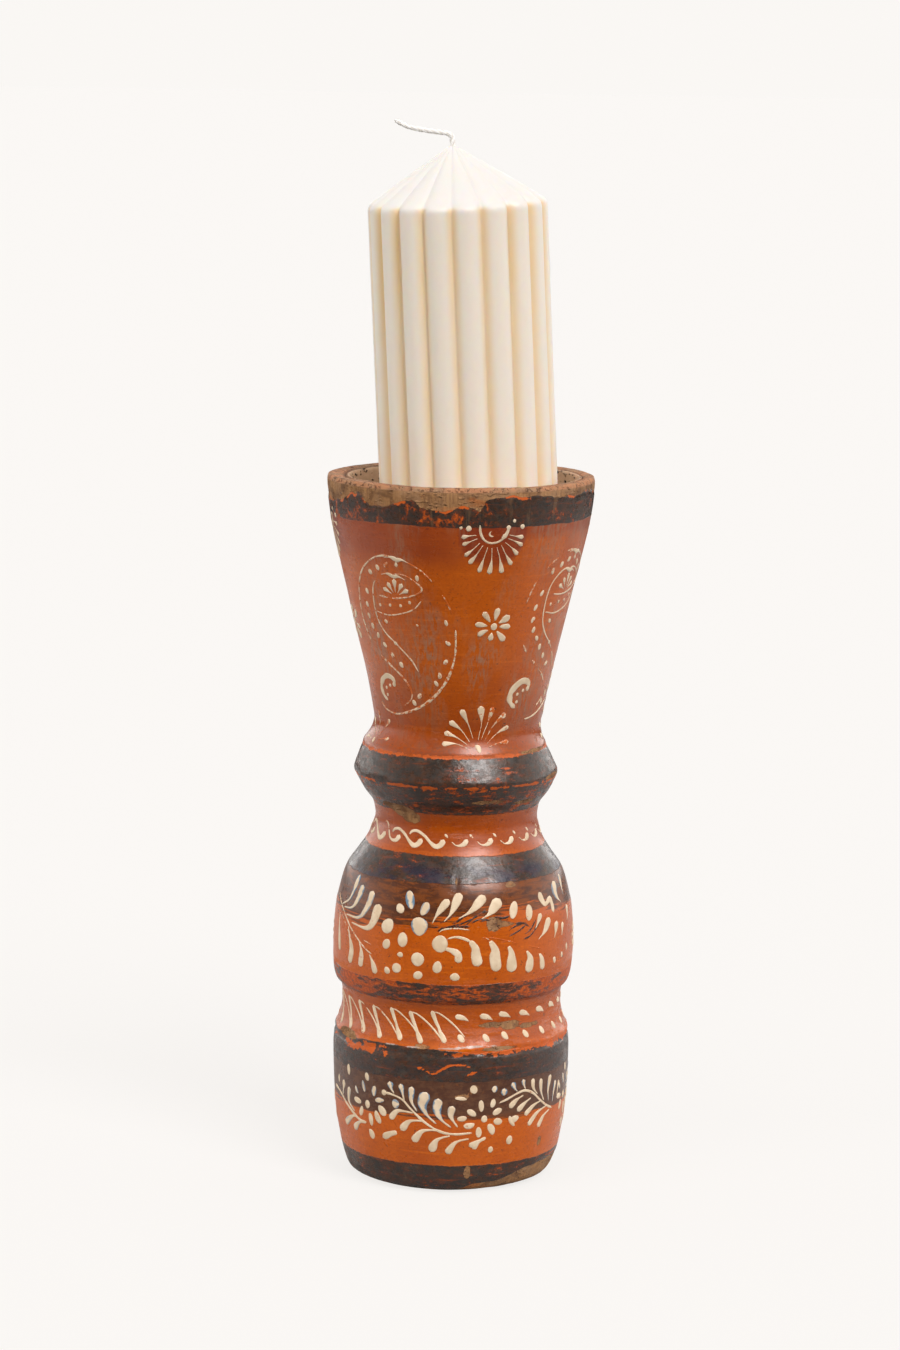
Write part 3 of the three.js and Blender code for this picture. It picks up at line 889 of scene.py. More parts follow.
def painted_wood():
    """Orange lacquer with black bands and brown overpaint, worn and chipped down to bare wood."""
    f = WoodPaint("painted_wood")
    colour = f.brown_wash(f.orange_ground())
    black = f.ramp(f.ragged_edge("black", 1.3), -0.12, 0.18)
    through, rubbed = f.worn_through()
    colour = f.mix(black, colour, f.black_lacquer(through, rubbed))
    flakes = f.ramp(f.ragged_edge("flake", 2.0), 0.52, 0.62)
    colour = f.mix(flakes, colour, FLAKE_ORANGE)
    # Darker colour in the corners of the turning.
    colour = f.coat(colour, CORNER_DARKENING, f.times(f.field("corner_darkening"), f.ramp(f.fine, 0.35, 0.62)), 0.5)
    chip = f.chip_depth()
    bare = f.ramp(chip, 0.49, 0.53)
    colour = f.mix(bare, colour, f.bare_wood())
    colour = f.coat(colour, CHIP_EDGE, f.times(f.ramp(chip, 0.44, 0.50), f.ramp(chip, 0.56, 0.505)), 0.55)
    # Painted highlight along the lower shoulder's lip, on the front only.
    colour = f.coat(colour, LIP_HIGHLIGHT, f.ramp(f.ragged_edge("lip_highlight", 0.8), 0.36, 0.56), 0.8)
    return f.finish(Base_Color=colour, Roughness=f.gloss(bare, black, f.highest(through, flakes)),
                    Normal=f.surface_relief(bare, black, through), IOR=LACQUER_IOR)


def cream_paint():
    """Thick cream brush paint, faintly yellowed, with blue under its edges and worn strokes."""
    f = Finish("cream_paint")
    fine = f.noise(1100, 4, 0.6)
    edge = f.field("edge")
    cream = f.dapple(CREAM_SHADE, CREAM, f.noise(240), 0.35, 0.7)
    cream = f.dapple(cream, CREAM_EDGE, edge, 0.75, 1.0, 0.35)
    patchy = f.plus(f.times(f.noise(300), 0.8), f.times(edge, 0.38))
    cream = f.mix(f.times(f.field("blue"), f.ramp(patchy, 0.60, 0.74)), cream, BLUE_GREY)
    gone = f.ramp(f.plus(f.noise(620, 5, 0.75), f.times(f.field("fade"), 0.42)), 0.66, 0.74)
    normal = f.bump(f.minus(fine, f.times(gone, 0.8)), 0.3, 0.00012)
    return f.finish(Base_Color=f.mix(gone, cream, ORANGE), Roughness=f.ramp(fine, 0.3, 0.7, 0.42, 0.6),
                    Normal=normal, IOR=LACQUER_IOR)


def dark_paint():
    """Thin brown-black brush marks, broken where the brush ran dry."""
    f = Finish("dark_paint")
    fine = f.noise(900, 4, 0.6)
    colour = f.dapple(BRUSH_DARK, BRUSH_DRY, f.noise((700, 700, 900), 4, 0.7), 0.50, 0.60)
    return f.finish(Base_Color=colour, Roughness=f.ramp(fine, 0.3, 0.7, 0.3, 0.5),
                    Normal=f.bump(fine, 0.2, 0.0001))


def candle_wax():
    """Ivory wax that lets light in, with faint casting marks. The grooves carry a painted warm glow and
    shade, and the cone a painted cooler tone.
    """
    f = Finish("candle_wax")
    # Painted light and shade: a warm glow down in the grooves.
    groove_glow_mask = f.times(f.field("groove"), f.ramp(f.noise((30, 30, 22), 3, 0.5), 0.3, 0.7, 0.75, 1.0))
    # Painted light: the cone takes a cooler tone than the sides of the same wax.
    colour = f.mix(f.field("cone_lit_tone"), WAX, WAX_CONE_LIT)
    colour = f.coat(colour, WAX_GROOVE_GLOW, groove_glow_mask, 0.9)
    colour = f.dapple(colour, WAX_MARK, f.noise((260, 260, 120), 4, 0.6), 0.5, 0.72, 0.08)
    film = f.bump(f.noise((170, 170, 60), 3, 0.5), 0.10, 0.0003)
    normal = f.bump(f.noise(1200, 2, 0.6), 0.06, 0.0001, film)
    roughness = f.ramp(f.noise((90, 90, 50), 3), 0.3, 0.7, 0.40, 0.54)
    return f.finish(Base_Color=colour, Roughness=roughness, Normal=normal, IOR=WAX_IOR,
                    Subsurface_Weight=0.4, Subsurface_Scale=0.003, Subsurface_Radius=WAX_LIGHT_REACH)


def waxed_cotton():
    """White wick cotton, with wax between the strands, and painted shade there."""
    f = Finish("waxed_cotton")
    strand = f.field("strand")
    # Painted shade: darker between the strands.
    colour = f.dapple(COTTON_SHADE, COTTON, strand, 0.1, 0.6)
    colour = f.dapple(colour, COTTON_WAXED, f.noise(900), 0.55, 0.7, 0.2)
    normal = f.bump(f.noise(2600), 0.4, 0.0001)
    return f.finish(Base_Color=colour, Roughness=f.ramp(strand, 0, 1, 0.5, 0.8), Normal=normal)


# ---------------------------------------------------------------- brush strokes
# A stroke's section: share of its half width, and share of its thickness.
SECTION = [(-1.0, -0.3), (-0.88, 0.6), (-0.5, 0.95), (0.0, 1.0), (0.5, 0.95), (0.88, 0.6), (1.0, -0.3)]
UNDERSIDE = [(0.7, -1.4), (-0.7, -1.4)]
LINE_THICKNESS = 0.12
BLOB_THICKNESS = 0.20
# How differently strokes fade, and the fewest points that a piece of a broken line keeps.
FADE_SPREAD = 0.08
SHORTEST_PIECE = 4


def runs_of(kept):
    """First and past-the-last index of each run of true values."""
    start = 0
    for i in range(1, len(kept) + 1):
        if i == len(kept) or kept[i] != kept[start]:
            if kept[start]:
                yield start, i
            start = i


class PaintLayer:
    """Raised strokes on the stick, gathered into one mesh."""

    def __init__(self, surface, name, body=1.0):
        self.surface, self.name, self.body = surface, name, body
        self.rings, self.sizes = [], []

    def stroke(self, place, centre, half_widths, thickness, fade, blue):
        """Adds one stroke along centre, (n, 2) local points to the right and up from its place."""
        azimuth, height = place
        tangent = np.gradient(centre, axis=0)
        tangent /= np.maximum(np.linalg.norm(tangent, axis=1, keepdims=True), 1e-9)
        across = np.stack([tangent[:, 1], -tangent[:, 0]], 1)
        section = np.array(SECTION + UNDERSIDE)
        offset = half_widths[:, None, None] * section[None, :, 0, None] * across[:, None, :]
        local = centre[:, None, :] + offset
        lift = np.broadcast_to(section[None, :, 1] * thickness[:, None], local.shape[:2])
        s = self.surface.s_at(height) + local[..., 1]
        turn = azimuth + np.degrees(local[..., 0] / self.surface.radius_at(s))
        edge = np.broadcast_to(np.abs(section[None, :, 0]), lift.shape)
        plain = np.ones_like(lift)
        self.rings.append(np.stack([turn, s, lift, edge, fade * plain, blue * plain], -1))
        self.sizes.append(len(centre))

    def build(self, material, slot):
        rings = np.vstack(self.rings)
        flat = rings.reshape(-1, 6)
        position = self.surface.on(flat[:, 0], flat[:, 1], flat[:, 2])
        loop = len(SECTION) + len(UNDERSIDE)
        faces, start = [], 0
        for size in self.sizes:
            for i in range(size - 1):
                a, b = start + i * loop, start + (i + 1) * loop
                faces += [[a + k, a + (k + 1) % loop, b + (k + 1) % loop, b + k] for k in range(loop)]
            faces.append([start + k for k in reversed(range(loop))])
            faces.append([start + (size - 1) * loop + k for k in range(loop)])
            start += size * loop
        mesh = bpy.data.meshes.new(self.name)
        mesh.from_pydata((position * MM).tolist(), [], faces)
        for key, column in (("edge", 3), ("fade", 4), ("blue", 5)):
            values = flat[:, column].astype(np.float32)
            mesh.attributes.new(key, "FLOAT", "POINT").data.foreach_set("value", values)
        made = finished_object(self.name, mesh)
        made.data.materials.append(material)
        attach(made, "holder")


class Brush:
    """Lays dabs, drops and lines around one place on a layer, in millimetres right and up."""

    def __init__(self, layer, azimuth, height, fade=0.0, scale=1.0):
        self.layer, self.place = layer, (azimuth, height)
        self.fade, self.scale = fade, scale

    def local(self, points):
        return np.array(points, float) * self.scale

    def faded(self, fade):
        """How faded a stroke is: as given or as the brush, and a little different each time."""
        fade = self.fade if fade is None else fade
        return float(np.clip(fade + random.normal(0, FADE_SPREAD), 0, 1))

    def dab(self, u, v, width, length=None, tilt=0, fade=None, blue=0.0):
        """A dot or oval: tilt turns its length clockwise from straight up."""
        length = width if length is None else length
        angle = math.radians(tilt)
        t = np.sin(np.linspace(-1, 1, 9) * math.pi / 2)
        bent = 0.12 * random.normal() * (1 - t * t)
        along = np.array([math.sin(angle), math.cos(angle)])
        aside = np.array([along[1], -along[0]])
        half = length * self.scale / 2
        centre = self.local([u, v]) + t[:, None] * half * along + bent[:, None] * half * aside
        swell = 1 + 0.10 * random.normal() * t
        widths = width * self.scale / 2 * np.sqrt(np.maximum(1 - t * t, 0.004)) * swell
        thick = BLOB_THICKNESS * np.sqrt(np.maximum(1 - t * t, 0.03)) * min(1, width / 2)
        self.layer.stroke(self.place, centre, widths, thick, self.faded(fade), blue)

    def leaf(self, points, width, tail_width=0.5, neck=0.5, fade=None, blue=0.0):
        """A comma: a path from a thin tail to the tip of a round head."""
        centre = smooth_path(self.local(points), 0.6)
        steps = path_lengths(centre)
        span = steps[-1]
        t = steps / span
        radius = min(width * self.scale / 2, span * 0.48)
        fat = tail_width / 2 + (radius - tail_width / 2) * ramp(t, neck - 0.35, min(0.96, neck + 0.3))
        cap = np.sqrt(np.clip(1 - (1 - np.clip((span - steps) / radius, 0, 1)) ** 2, 0.003, 1))
        hand = 1 + 0.07 * smooth_noise(steps * 0.5 + random.uniform(0, 99), t * 0, t * 0, 43)
        widths = fat * cap * hand * ramp(t, -0.12, 0.10)
        thick = LINE_THICKNESS + (BLOB_THICKNESS - LINE_THICKNESS) * ramp(t, neck - 0.2, 0.9)
        self.layer.stroke(self.place, centre, widths, thick * np.sqrt(cap), self.faded(fade), blue)

    def drop(self, tail, head, width, bend=0.0, tail_width=0.25, fade=None, neck=0.55):
        """A nearly straight comma; bend bows its middle to the right of its way."""
        a, b = np.array(tail, float), np.array(head, float)
        along = (b - a) / max(np.linalg.norm(b - a), 1e-6)
        middle = (a + b) / 2 + bend * np.array([along[1], -along[0]])
        self.leaf([a, middle, b], width, tail_width, neck, fade)

    def line(self, points, width, swell=0.0, gaps=0.0, fade=None):
        """A drawn line. swell thickens its middle, and gaps from 0 to 1 leaves it broken."""
        path = smooth_path(self.local(points), 0.75)
        steps = path_lengths(path)
        t = steps / steps[-1]
        hand = 1 + 0.28 * smooth_noise(steps * 0.45 + random.uniform(0, 99), t * 0, t * 0, 41)
        ends = np.sqrt(np.clip(np.minimum(t, 1 - t) * steps[-1] / 0.9, 0.02, 1))
        widths = width / 2 * self.scale * hand * ends * (1 + swell * np.sin(t * math.pi) ** 2)
        kept = smooth_noise(steps * 0.22 + random.uniform(0, 99), t * 0, t * 0, 42) > gaps * 2 - 1
        for start, end in runs_of(kept):
            if end - start >= SHORTEST_PIECE:
                step = np.arange(end - start)
                taper = np.sqrt(np.clip(np.minimum(step, step[::-1]) / 2 + 0.1, 0, 1))
                thick = np.full(end - start, LINE_THICKNESS * self.layer.body)
                self.layer.stroke(self.place, path[start:end], widths[start:end] * taper, thick,
                                  self.faded(fade), 0.0)


# ---------------------------------------------------------------- ornament
# Heights that the figures are drawn around.
SUN_HEIGHT = 262
PAISLEY_HEIGHT = 222
FAN_HEIGHT = 175.8
NECK_ROW_HEIGHT = 138
BELLY_HEIGHT = 101.6
PLUME_HEIGHT = 99
GROOVE_ROW_HEIGHT = 68
SPRAY_HEIGHT = 31
ARCH_HEIGHT = 35
BARREL_FLOWER_HEIGHT = 31.4
POSY_HEIGHT = 33.7
LEFT_SPRIG_HEIGHT = 30
BELLY_FLOWER_HEIGHT = 97
# Azimuths of the belly's two sprays, and how far round from each its plume and flower stand.
BELLY_SPRAYS = (-6.9, 173.1)
PLUME_TURN = -45
BELLY_FLOWER_TURN = 92
# Azimuth, fading, how worn the outline is, and how far the curled tail sits to the left.
PAISLEYS = [(-32, 0.34, 0.0, 0.0), (66.5, 0.10, 0.5, 3.4), (156, 0.25, 0.1, 0.0), (-119, 0.3, 0.0, 0.0)]
FLOWERS = [(18, 225), (118, 228), (-156, 224), (-79, 222)]
FLOWER_PETALS = 8
# Azimuth and size of each fan on the cup's foot.
CUP_FANS = [(14.6, 1.0), (101, 1.0), (172, 0.9), (-125, 1.0), (-66, 0.72)]
SUN_RAYS = 11
SUN_CUP = [(-5.4, 3.6), (-5.0, 0.4), (-3.4, -2.4), (-0.8, -3.7), (2.6, -3.0), (5.0, -0.6), (6.3, 2.0)]
SUN_DABS = [(11.8, 2.6, 2.0), (8.3, 5.0, 1.4), (-9.6, 2.2, 2.3), (-12.6, 2.4, 1.3)]


def sunburst(layer, azimuth, fade):
    """A half sun that hangs from the rim's black band: a cup line with rays and dots around it."""
    brush = Brush(layer, azimuth, SUN_HEIGHT, fade)
    brush.line(SUN_CUP, 0.85)
    brush.line([(3.2, -2.4), (5.2, -0.2), (6.2, 2.4)], 1.7)
    brush.dab(6.0, 2.4, 1.9)
    brush.line([(-1.0, 1.1), (-1.5, 0.0), (-0.9, -0.9), (0.2, -1.0)], 0.9)
    for i in range(SUN_RAYS):
        angle = math.radians(188 + i * 164 / (SUN_RAYS - 1) + random.normal(0, 1.5))
        reach = 12.8 + 3.8 * math.sin(math.pi * i / (SUN_RAYS - 1)) ** 2 + random.normal(0, 0.35)
        near = (6.6 * math.cos(angle), 6.0 * math.sin(angle) + 0.4)
        far = (reach * math.cos(angle), reach * math.sin(angle) + 0.3)
        width = 2.15 + random.normal(0, 0.15)
        brush.drop(near, far, width, bend=random.normal(0, 0.25), tail_width=0.3, neck=0.7)
    for u, v, width in SUN_DABS:
        brush.dab(u, v, width)


def flower(layer, azimuth, height, reach=5.4, fade=0.0, scale=1.0):
    """A dot with oval petals that point at it."""
    brush = Brush(layer, azimuth, height, fade, scale)
    brush.dab(0, 0, 2.7)
    for i in range(FLOWER_PETALS):
        a = math.radians(8 + i * 360 / FLOWER_PETALS + random.normal(0, 4))
        far = reach * (1 + random.normal(0, 0.07))
        width = 2.4 * (1 + random.normal(0, 0.12))
        brush.drop((2.4 * math.sin(a), 2.4 * math.cos(a)), (far * math.sin(a), far * math.cos(a)), width,
                   bend=random.normal(0, 0.15), tail_width=0.7, neck=0.3)


PAISLEY_LEFT = [
    (0.8, 30.2), (-5, 30.6), (-11, 28.8), (-17.5, 24), (-21.5, 17.5), (-23, 8.5), (-21.5, 0), (-16.6, -8),
    (-8.8, -14.2), (-2.5, -19.2), (0.6, -24), (0.4, -28), (-3, -31),
]
PAISLEY_RIGHT = [
    (0.8, 30.2), (6.6, 28.2), (12, 24.8), (17, 18.5), (20.6, 11), (22, 2), (20.4, -9), (16.4, -18.6),
    (10, -26.6), (2, -32), (-6.6, -34.8), (-13, -34), (-16.8, -31.2),
]
PAISLEY_HOOK = [
    (-6.6, -22.4), (-8.2, -20.2), (-11.2, -19.6), (-14.2, -21.6), (-15.6, -24.6), (-14.6, -27.8),
    (-12, -30),
]
PAISLEY_DOTS = [
    (-12.9, 23.2), (-8.6, 25.4), (-4.0, 27.0), (5.0, 25.0), (9.2, 22.4), (-16.4, 15), (-17.6, 9.4),
    (-17.4, 4.6), (-15.8, 0.6), (-13, -3), (-9.8, -6.6), (-6.2, -10.4), (-2.2, -14), (13.2, -17.4),
    (11.6, -20.8), (16.4, -11.6), (18.2, -4), (18.6, 4.6), (4.2, -26.4), (7.6, -25), (1.6, -29.4),
]
PAISLEY_EYE_LEFT = [
    (-1.5, 23.2), (-5.4, 23.4), (-9.6, 21), (-12.4, 17), (-13, 10), (-11.8, 3.4), (-8.4, -1.6),
    (-3.2, -6), (2.2, -11.4), (5.0, -16.4),
]
PAISLEY_EYE_RIGHT = [
    (-1.5, 23.2), (2.8, 23.4), (7, 21.6), (10.6, 18.4), (8.6, 16), (3.4, 14.2), (-3.6, 13.4), (-9.6, 14),
]
PAISLEY_ARC = [(-12, 7.2), (-6, 6.2), (0, 7.2), (6, 9.4), (9.8, 13.2)]
PAISLEY_EYE_DOTS = [(-9.6, 10), (-4.4, 10.4), (0.6, 10.6), (4.8, 12.2)]
PAISLEY_BODY_DABS = [(-7.6, 3.4, 2.1), (-4.0, -5.4, 1.9), (6.8, 3.0, 1.2)]
PAISLEY_TAIL_DOTS = [(-12.2, -24.6), (-9.8, -23.4), (-11.8, -27.6)]
# The two peaks of the figure, each with a pair of drops, and their widths.
PAISLEY_PEAKS = [(0.8, 30.0, 1.9), (-1.6, 23.0, 1.7)]


def paisley(layer, azimuth, fade, worn, tail_shift):
    """A teardrop figure: a double outline with dots between, a fan in its eye and a curled tail."""
    brush = Brush(layer, azimuth, PAISLEY_HEIGHT, fade, 1.0 + 0.05 * (fade < 0.2))
    paisley_outline(brush, fade, worn)
    curl = [(u - tail_shift, v) for u, v in PAISLEY_HOOK]
    brush.line(curl, 1.9 - fade, swell=0.4, fade=fade * 0.3)
    brush.dab(-7.2 - tail_shift, -22.8, 1.9, fade=fade * 0.3)
    for u, v in PAISLEY_DOTS:
        if random.random() > 0.2 * fade:
            width, tilt = 1.75 + random.normal(0, 0.15), random.normal(0, 25)
            brush.dab(u, v, width, 2.5, tilt, fade=min(1, fade * random.uniform(0.4, 1.3)))
    paisley_eye(brush, fade)
    for u, v, width in PAISLEY_BODY_DABS:
        brush.dab(u, v, width, width * 0.7, tilt=40, fade=fade * 0.8)
    for u, v in PAISLEY_TAIL_DOTS:
        brush.dab(u - tail_shift, v, 1.3, fade=fade * 0.4)


def paisley_outline(brush, fade, worn):
    """Two outlines, an arc across the eye and drops at the peaks. worn leaves gaps on the outside."""
    gaps = 0.02 + 0.38 * fade
    brush.line(PAISLEY_LEFT, 0.75, gaps=gaps + worn, fade=min(1, fade + worn * 0.8))
    brush.line(PAISLEY_RIGHT[:6], 0.6, gaps=gaps * 2.6, fade=min(1, fade * 1.8))
    brush.line(PAISLEY_RIGHT[5:], 0.7, swell=0.7, gaps=gaps * 0.3 + worn)
    brush.line(PAISLEY_EYE_LEFT, 0.6, gaps=gaps)
    brush.line(PAISLEY_EYE_RIGHT, 0.6, gaps=gaps * 0.6)
    brush.line(PAISLEY_ARC, 0.5, gaps=gaps * 0.5)
    for u, v, width in PAISLEY_PEAKS:
        brush.drop((u - 5.4, v - 0.2), (u + 0.6, v - 0.7), width, bend=-0.8, fade=0.1)
        brush.drop((u + 5.6, v - 1.6), (u - 0.2, v - 0.8), width, bend=0.7, fade=0.1)
    brush.drop((0.9, 29.4), (0.8, 26.4), 1.7, fade=0.1)


def paisley_eye(brush, fade):
    """A fan of five drops in the eye, the middle one longest, with dots under it."""
    for i in range(5):
        angle = math.radians(-62 + i * 31)
        reach = 6.6 if i != 2 else 7.4
        near = (-1 + 2.0 * math.sin(angle), 14.6 + 1.4 * math.cos(angle))
        far = (-1 + reach * math.sin(angle), 14.4 + reach * 0.95 * math.cos(angle))
        brush.drop(near, far, 2.1, tail_width=0.35, fade=fade * 0.3)
    for u, v in PAISLEY_EYE_DOTS:
        brush.dab(u, v, 1.3, fade=fade * 0.8)


def cup_fan(layer, azimuth, scale):
    """Long drops that spread upwards from a dab on the cup's foot."""
    brush = Brush(layer, azimuth, FAN_HEIGHT, 0.15, scale)
    rays = 9 if scale > 0.8 else 5
    for i in range(rays):
        share = i / (rays - 1)
        angle = math.radians(-84 + share * 162 + random.normal(0, 2))
        reach = 13.2 + 4.8 * math.sin(math.pi * share) + random.normal(0, 0.5)
        near = 3.4 + random.uniform(0, 1.5)
        across, up = math.sin(angle), math.cos(angle)
        width = 2.4 + random.normal(0, 0.3)
        brush.drop((near * across, near * up), (reach * across, reach * up), width,
                   bend=random.normal(0, 0.4) - 0.8 * across, tail_width=0.28, neck=0.78,
                   fade=0.15 + 0.3 * share)
    brush.dab(-0.2, 0.2, 2.1, 3.6, tilt=-28)


NECK_COMMAS = 22
NECK_WAVE = [
    (-12.6, 3.2), (-11.8, 4.4), (-9.3, 4.8), (-6.1, 3.2), (-3.6, 0.9), (-1.2, -0.7), (0.8, 0.0),
    (1.9, 2.2),
]
NECK_THIN = [(-8.6, 5.6), (-7.6, 6.4), (-6.2, 5.2), (-5.2, 3.6)]
NECK_HALF_WAVE = [(-5.0, 3.2), (-3.2, 0.4), (-1.0, -0.4), (0.8, 0.2), (1.8, 2.2)]
NECK_COMMA = [(-4.4, 1.4), (-2.8, 0.0), (-0.8, 0.0), (0.7, 0.8), (1.6, 2.5)]


def neck_scroll(layer):
    """A running row of commas round the neck, joined into waves for part of the way."""
    for i in range(NECK_COMMAS):
        azimuth = -174.5 + i * 360 / NECK_COMMAS + random.normal(0, 0.5)
        brush = Brush(layer, azimuth, NECK_ROW_HEIGHT + random.normal(0, 0.25), 0.05)
        joined = -70 < azimuth < -2 or azimuth > 110
        if joined and i % 3 != 2:
            brush.leaf(NECK_WAVE, 2.5, tail_width=1.15, neck=0.86)
        elif joined:
            brush.line(NECK_THIN, 0.6, gaps=0.25, fade=0.3)
            brush.leaf(NECK_HALF_WAVE, 2.6, tail_width=0.8, neck=0.7)
        else:
            brush.leaf(NECK_COMMA, 2.35, tail_width=0.4, neck=0.55)
            brush.dab(-6.6, 3.6, 1.0, 1.9, tilt=-40, fade=0.35)


# Leaves are a path and its width, with the tail's width or the amount of blue after it.
BELLY_UPPER = [
    ([(-2.8, 7.9), (-0.6, 12.0), (3.3, 17.4)], 3.3), ([(1.8, 8.7), (4.6, 12.4), (7.6, 20.0)], 3.8),
    ([(7.4, 10.0), (12.2, 13.0), (17.4, 18.8)], 3.8), ([(16.4, 9.8), (19.6, 11.8), (23.6, 17.2)], 4.9),
    ([(40.6, 4.0), (42.0, 6.2), (43.6, 9.6)], 2.4), ([(42.4, -0.4), (46.0, 2.4), (48.8, 7.2)], 3.5),
    ([(52.4, -1.4), (53.4, 1.6), (54.0, 5.0)], 3.0), ([(58.4, -1.4), (58.8, 1.0), (59.2, 3.8)], 2.2),
    ([(58.6, 11.4), (54.8, 14.6), (52.6, 20.4)], 4.6), ([(62.0, 13.6), (60.8, 17.0), (59.4, 22.0)], 2.8),
    ([(64.6, 3.4), (64.9, 6.0), (64.2, 9.6)], 2.4),
]
BELLY_FEATHER = [
    ([(12.2, 1.2), (14.2, -1.6), (14.6, -4.6), (15.6, -8.8)], 4.3, 2.3),
    ([(20.2, 1.0), (22.2, -2.6), (22.2, -5.6), (23.2, -11.2)], 5.0, 2.2),
    ([(28.0, -1.6), (29.2, -4.2), (29.4, -7.4), (29.6, -12.0)], 4.6, 1.7),
    ([(36.4, -4.2), (38.0, -7.0), (38.0, -9.4), (37.4, -13.0)], 3.9, 1.3),
    ([(43.0, -6.2), (44.4, -8.6), (45.0, -12.9)], 3.0, 1.4),
]
# Round dabs: place, width, length, tilt and amount of blue.
BELLY_DABS = [
    (29.8, 12.4, 3.9, 6.8, 6, 0), (36.8, 10.6, 3.6, 6.2, -4, 0), (-11.8, 16.4, 4.0, 7.2, -10, 0.9),
    (-16.6, 12.4, 3.7, 3.7, -30, 0), (-6.2, 13.4, 3.6, 5.6, 24, 0.6), (-21.4, 5.2, 5.4, 6.4, 35, 0),
    (-14.7, 0.6, 4.4, 5.8, 4, 0), (-21.8, -1.9, 3.5, 4.2, 30, 0), (-15.9, -5.3, 2.7, 2.0, 0, 0),
    (-8.2, -6.6, 5.6, 5.4, 0, 0), (-0.4, -9.2, 3.8, 4.8, 8, 0), (-8.1, -12.9, 4.1, 3.2, -20, 0),
    (6.6, -12.9, 4.1, 3.1, 10, 0), (-17.2, -10.9, 4.2, 3.9, -40, 0), (-21.6, -12.4, 2.7, 2.9, -30, 0),
    (52.4, -10.3, 1.9, 2.7, -20, 0), (58.6, -9.1, 1.6, 2.3, 0, 0), (63.4, -6.8, 1.6, 2.9, 0, 0),
]
# Thin dark strokes of the brush that drew the belly's spray, from its centre outwards.
BELLY_DARK = [
    [(-2.6, 7.0), (3.1, 9.4), (8.4, 12.6)], [(-2.7, 6.2), (4.4, 7.6), (11.4, 12.0), (14.6, 14.4)],
    [(-2.2, 5.4), (2.4, 6.4), (9.0, 8.2), (15.4, 11.4), (18.2, 13.4)],
    [(-1.8, 3.8), (1.6, 6.2), (6.6, 6.8), (12.2, 6.9)], [(12.1, 8.2), (15.8, 9.6), (20.2, 9.0)],
    [(21.4, 10.4), (25.4, 9.6), (28.4, 10.4)], [(25.6, 3.8), (29.6, 5.6), (34.0, 7.4)],
    [(27.8, 2.2), (33.4, 4.6), (38.6, 8.2)], [(33.4, 2.0), (37.6, 3.6), (41.0, 7.6)],
    [(34.6, 0.6), (38.0, 1.6), (43.2, 6.4)], [(30.6, 7.0), (34.6, 6.8), (37.4, 5.2)],
    [(22.6, 7.8), (24.6, 6.0), (28.0, 5.6)],
]


def belly_spray(layer, azimuth):
    """The belly's figure: big dots and a leafy spray that spreads right above hanging leaves."""
    brush = Brush(layer, azimuth, BELLY_HEIGHT)
    brush.dab(-7.7, 6.3, 7.1, 7.2, blue=0.8)
    brush.dab(0, 0, 6.6, 6.6)
    brush.line([(-0.6, 3.8), (1.6, 5.6), (6.4, 6.2), (12, 5.6)], 0.5, gaps=0.2, fade=0.5)
    brush.line([(15, 3.0), (24, 1.6), (34, -1.4), (45, -4.6)], 0.4, gaps=0.5, fade=0.7)
    for path, width in BELLY_UPPER:
        brush.leaf(path, width, tail_width=0.45, neck=0.45, blue=0.7 if path[-1][1] > 20 else 0)
    for path, width, tail_width in BELLY_FEATHER:
        brush.leaf(path, width, tail_width=tail_width, neck=0.36)
    brush.line([(3.2, 2.0), (6.0, 2.8), (9.2, 2.4), (12.8, 0.8)], 1.0, gaps=0.05)
    brush.line([(17.0, 2.6), (19.0, 2.0), (20.6, 0.8)], 0.5, fade=0.4)
    brush.leaf([(2.6, -1.8), (5.4, -2.6), (7.6, -4.2), (7.6, -7.4)], 3.1, tail_width=1.7, neck=0.4)
    brush.line([(42.6, 17.8), (44.2, 14.8), (46.6, 12.6), (49.4, 14.2), (51.0, 12.0), (51.9, 8.6)], 2.2)
    for u, v, width, length, tilt, blue in BELLY_DABS:
        brush.dab(u, v, width, length, tilt, blue=blue)


PLUME_STEM = [
    (-22.3, 14.4), (-16.4, 11.4), (-11.7, 8.5), (-5.7, 4.0), (0.5, -0.1), (6.6, -3.7), (12.9, -5.4),
]
PLUME_LEAVES = [
    ([(-15.0, 11.4), (-9.4, 14.4), (-7.0, 19.0), (-5.4, 25.0)], 2.9, 1.0),
    ([(-12.5, 10.7), (-6.0, 11.8), (-2.8, 16.0), (-1.2, 21.6)], 3.3, 0.8),
    ([(-9.6, 8.3), (-0.4, 8.8), (3.6, 13.4), (5.2, 20.2)], 3.4, 0.6),
    ([(-4.8, 5.9), (4.6, 5.4), (8.2, 8.6), (9.8, 15.6)], 4.4, 0.0),
]
PLUME_LOWER = [
    ([(-17.0, 7.6), (-16.2, 2.0), (-14.8, -7.2)], 2.7),
    ([(-7.4, 4.0), (-5.2, -1.4), (-4.2, -5.0), (-5.6, -10.4)], 3.3),
    ([(0.9, -0.4), (2.4, -4.4), (1.8, -10.6)], 3.0), ([(7.2, -4.8), (8.8, -7.6), (10.4, -12.0)], 3.0),
]


def plume(layer, azimuth):
    """A curved stem with leaves that sweep up to its right and hang below it."""
    brush = Brush(layer, azimuth, PLUME_HEIGHT, 0.05)
    brush.line(PLUME_STEM, 0.6, gaps=0.08, fade=0.35)
    brush.line([(-16.6, 9.2), (-9.8, 4.4), (-4.4, -0.8)], 0.4, gaps=0.2, fade=0.5)
    brush.line([(1.0, 1.0), (4.6, 0.2), (8.0, -0.6)], 0.45, gaps=0.2, fade=0.5)
    for path, width, blue in PLUME_LEAVES:
        brush.leaf(path, width, tail_width=0.8, neck=0.55, blue=blue)
    for path, width in PLUME_LOWER:
        brush.leaf(path, width, tail_width=0.7, neck=0.42)


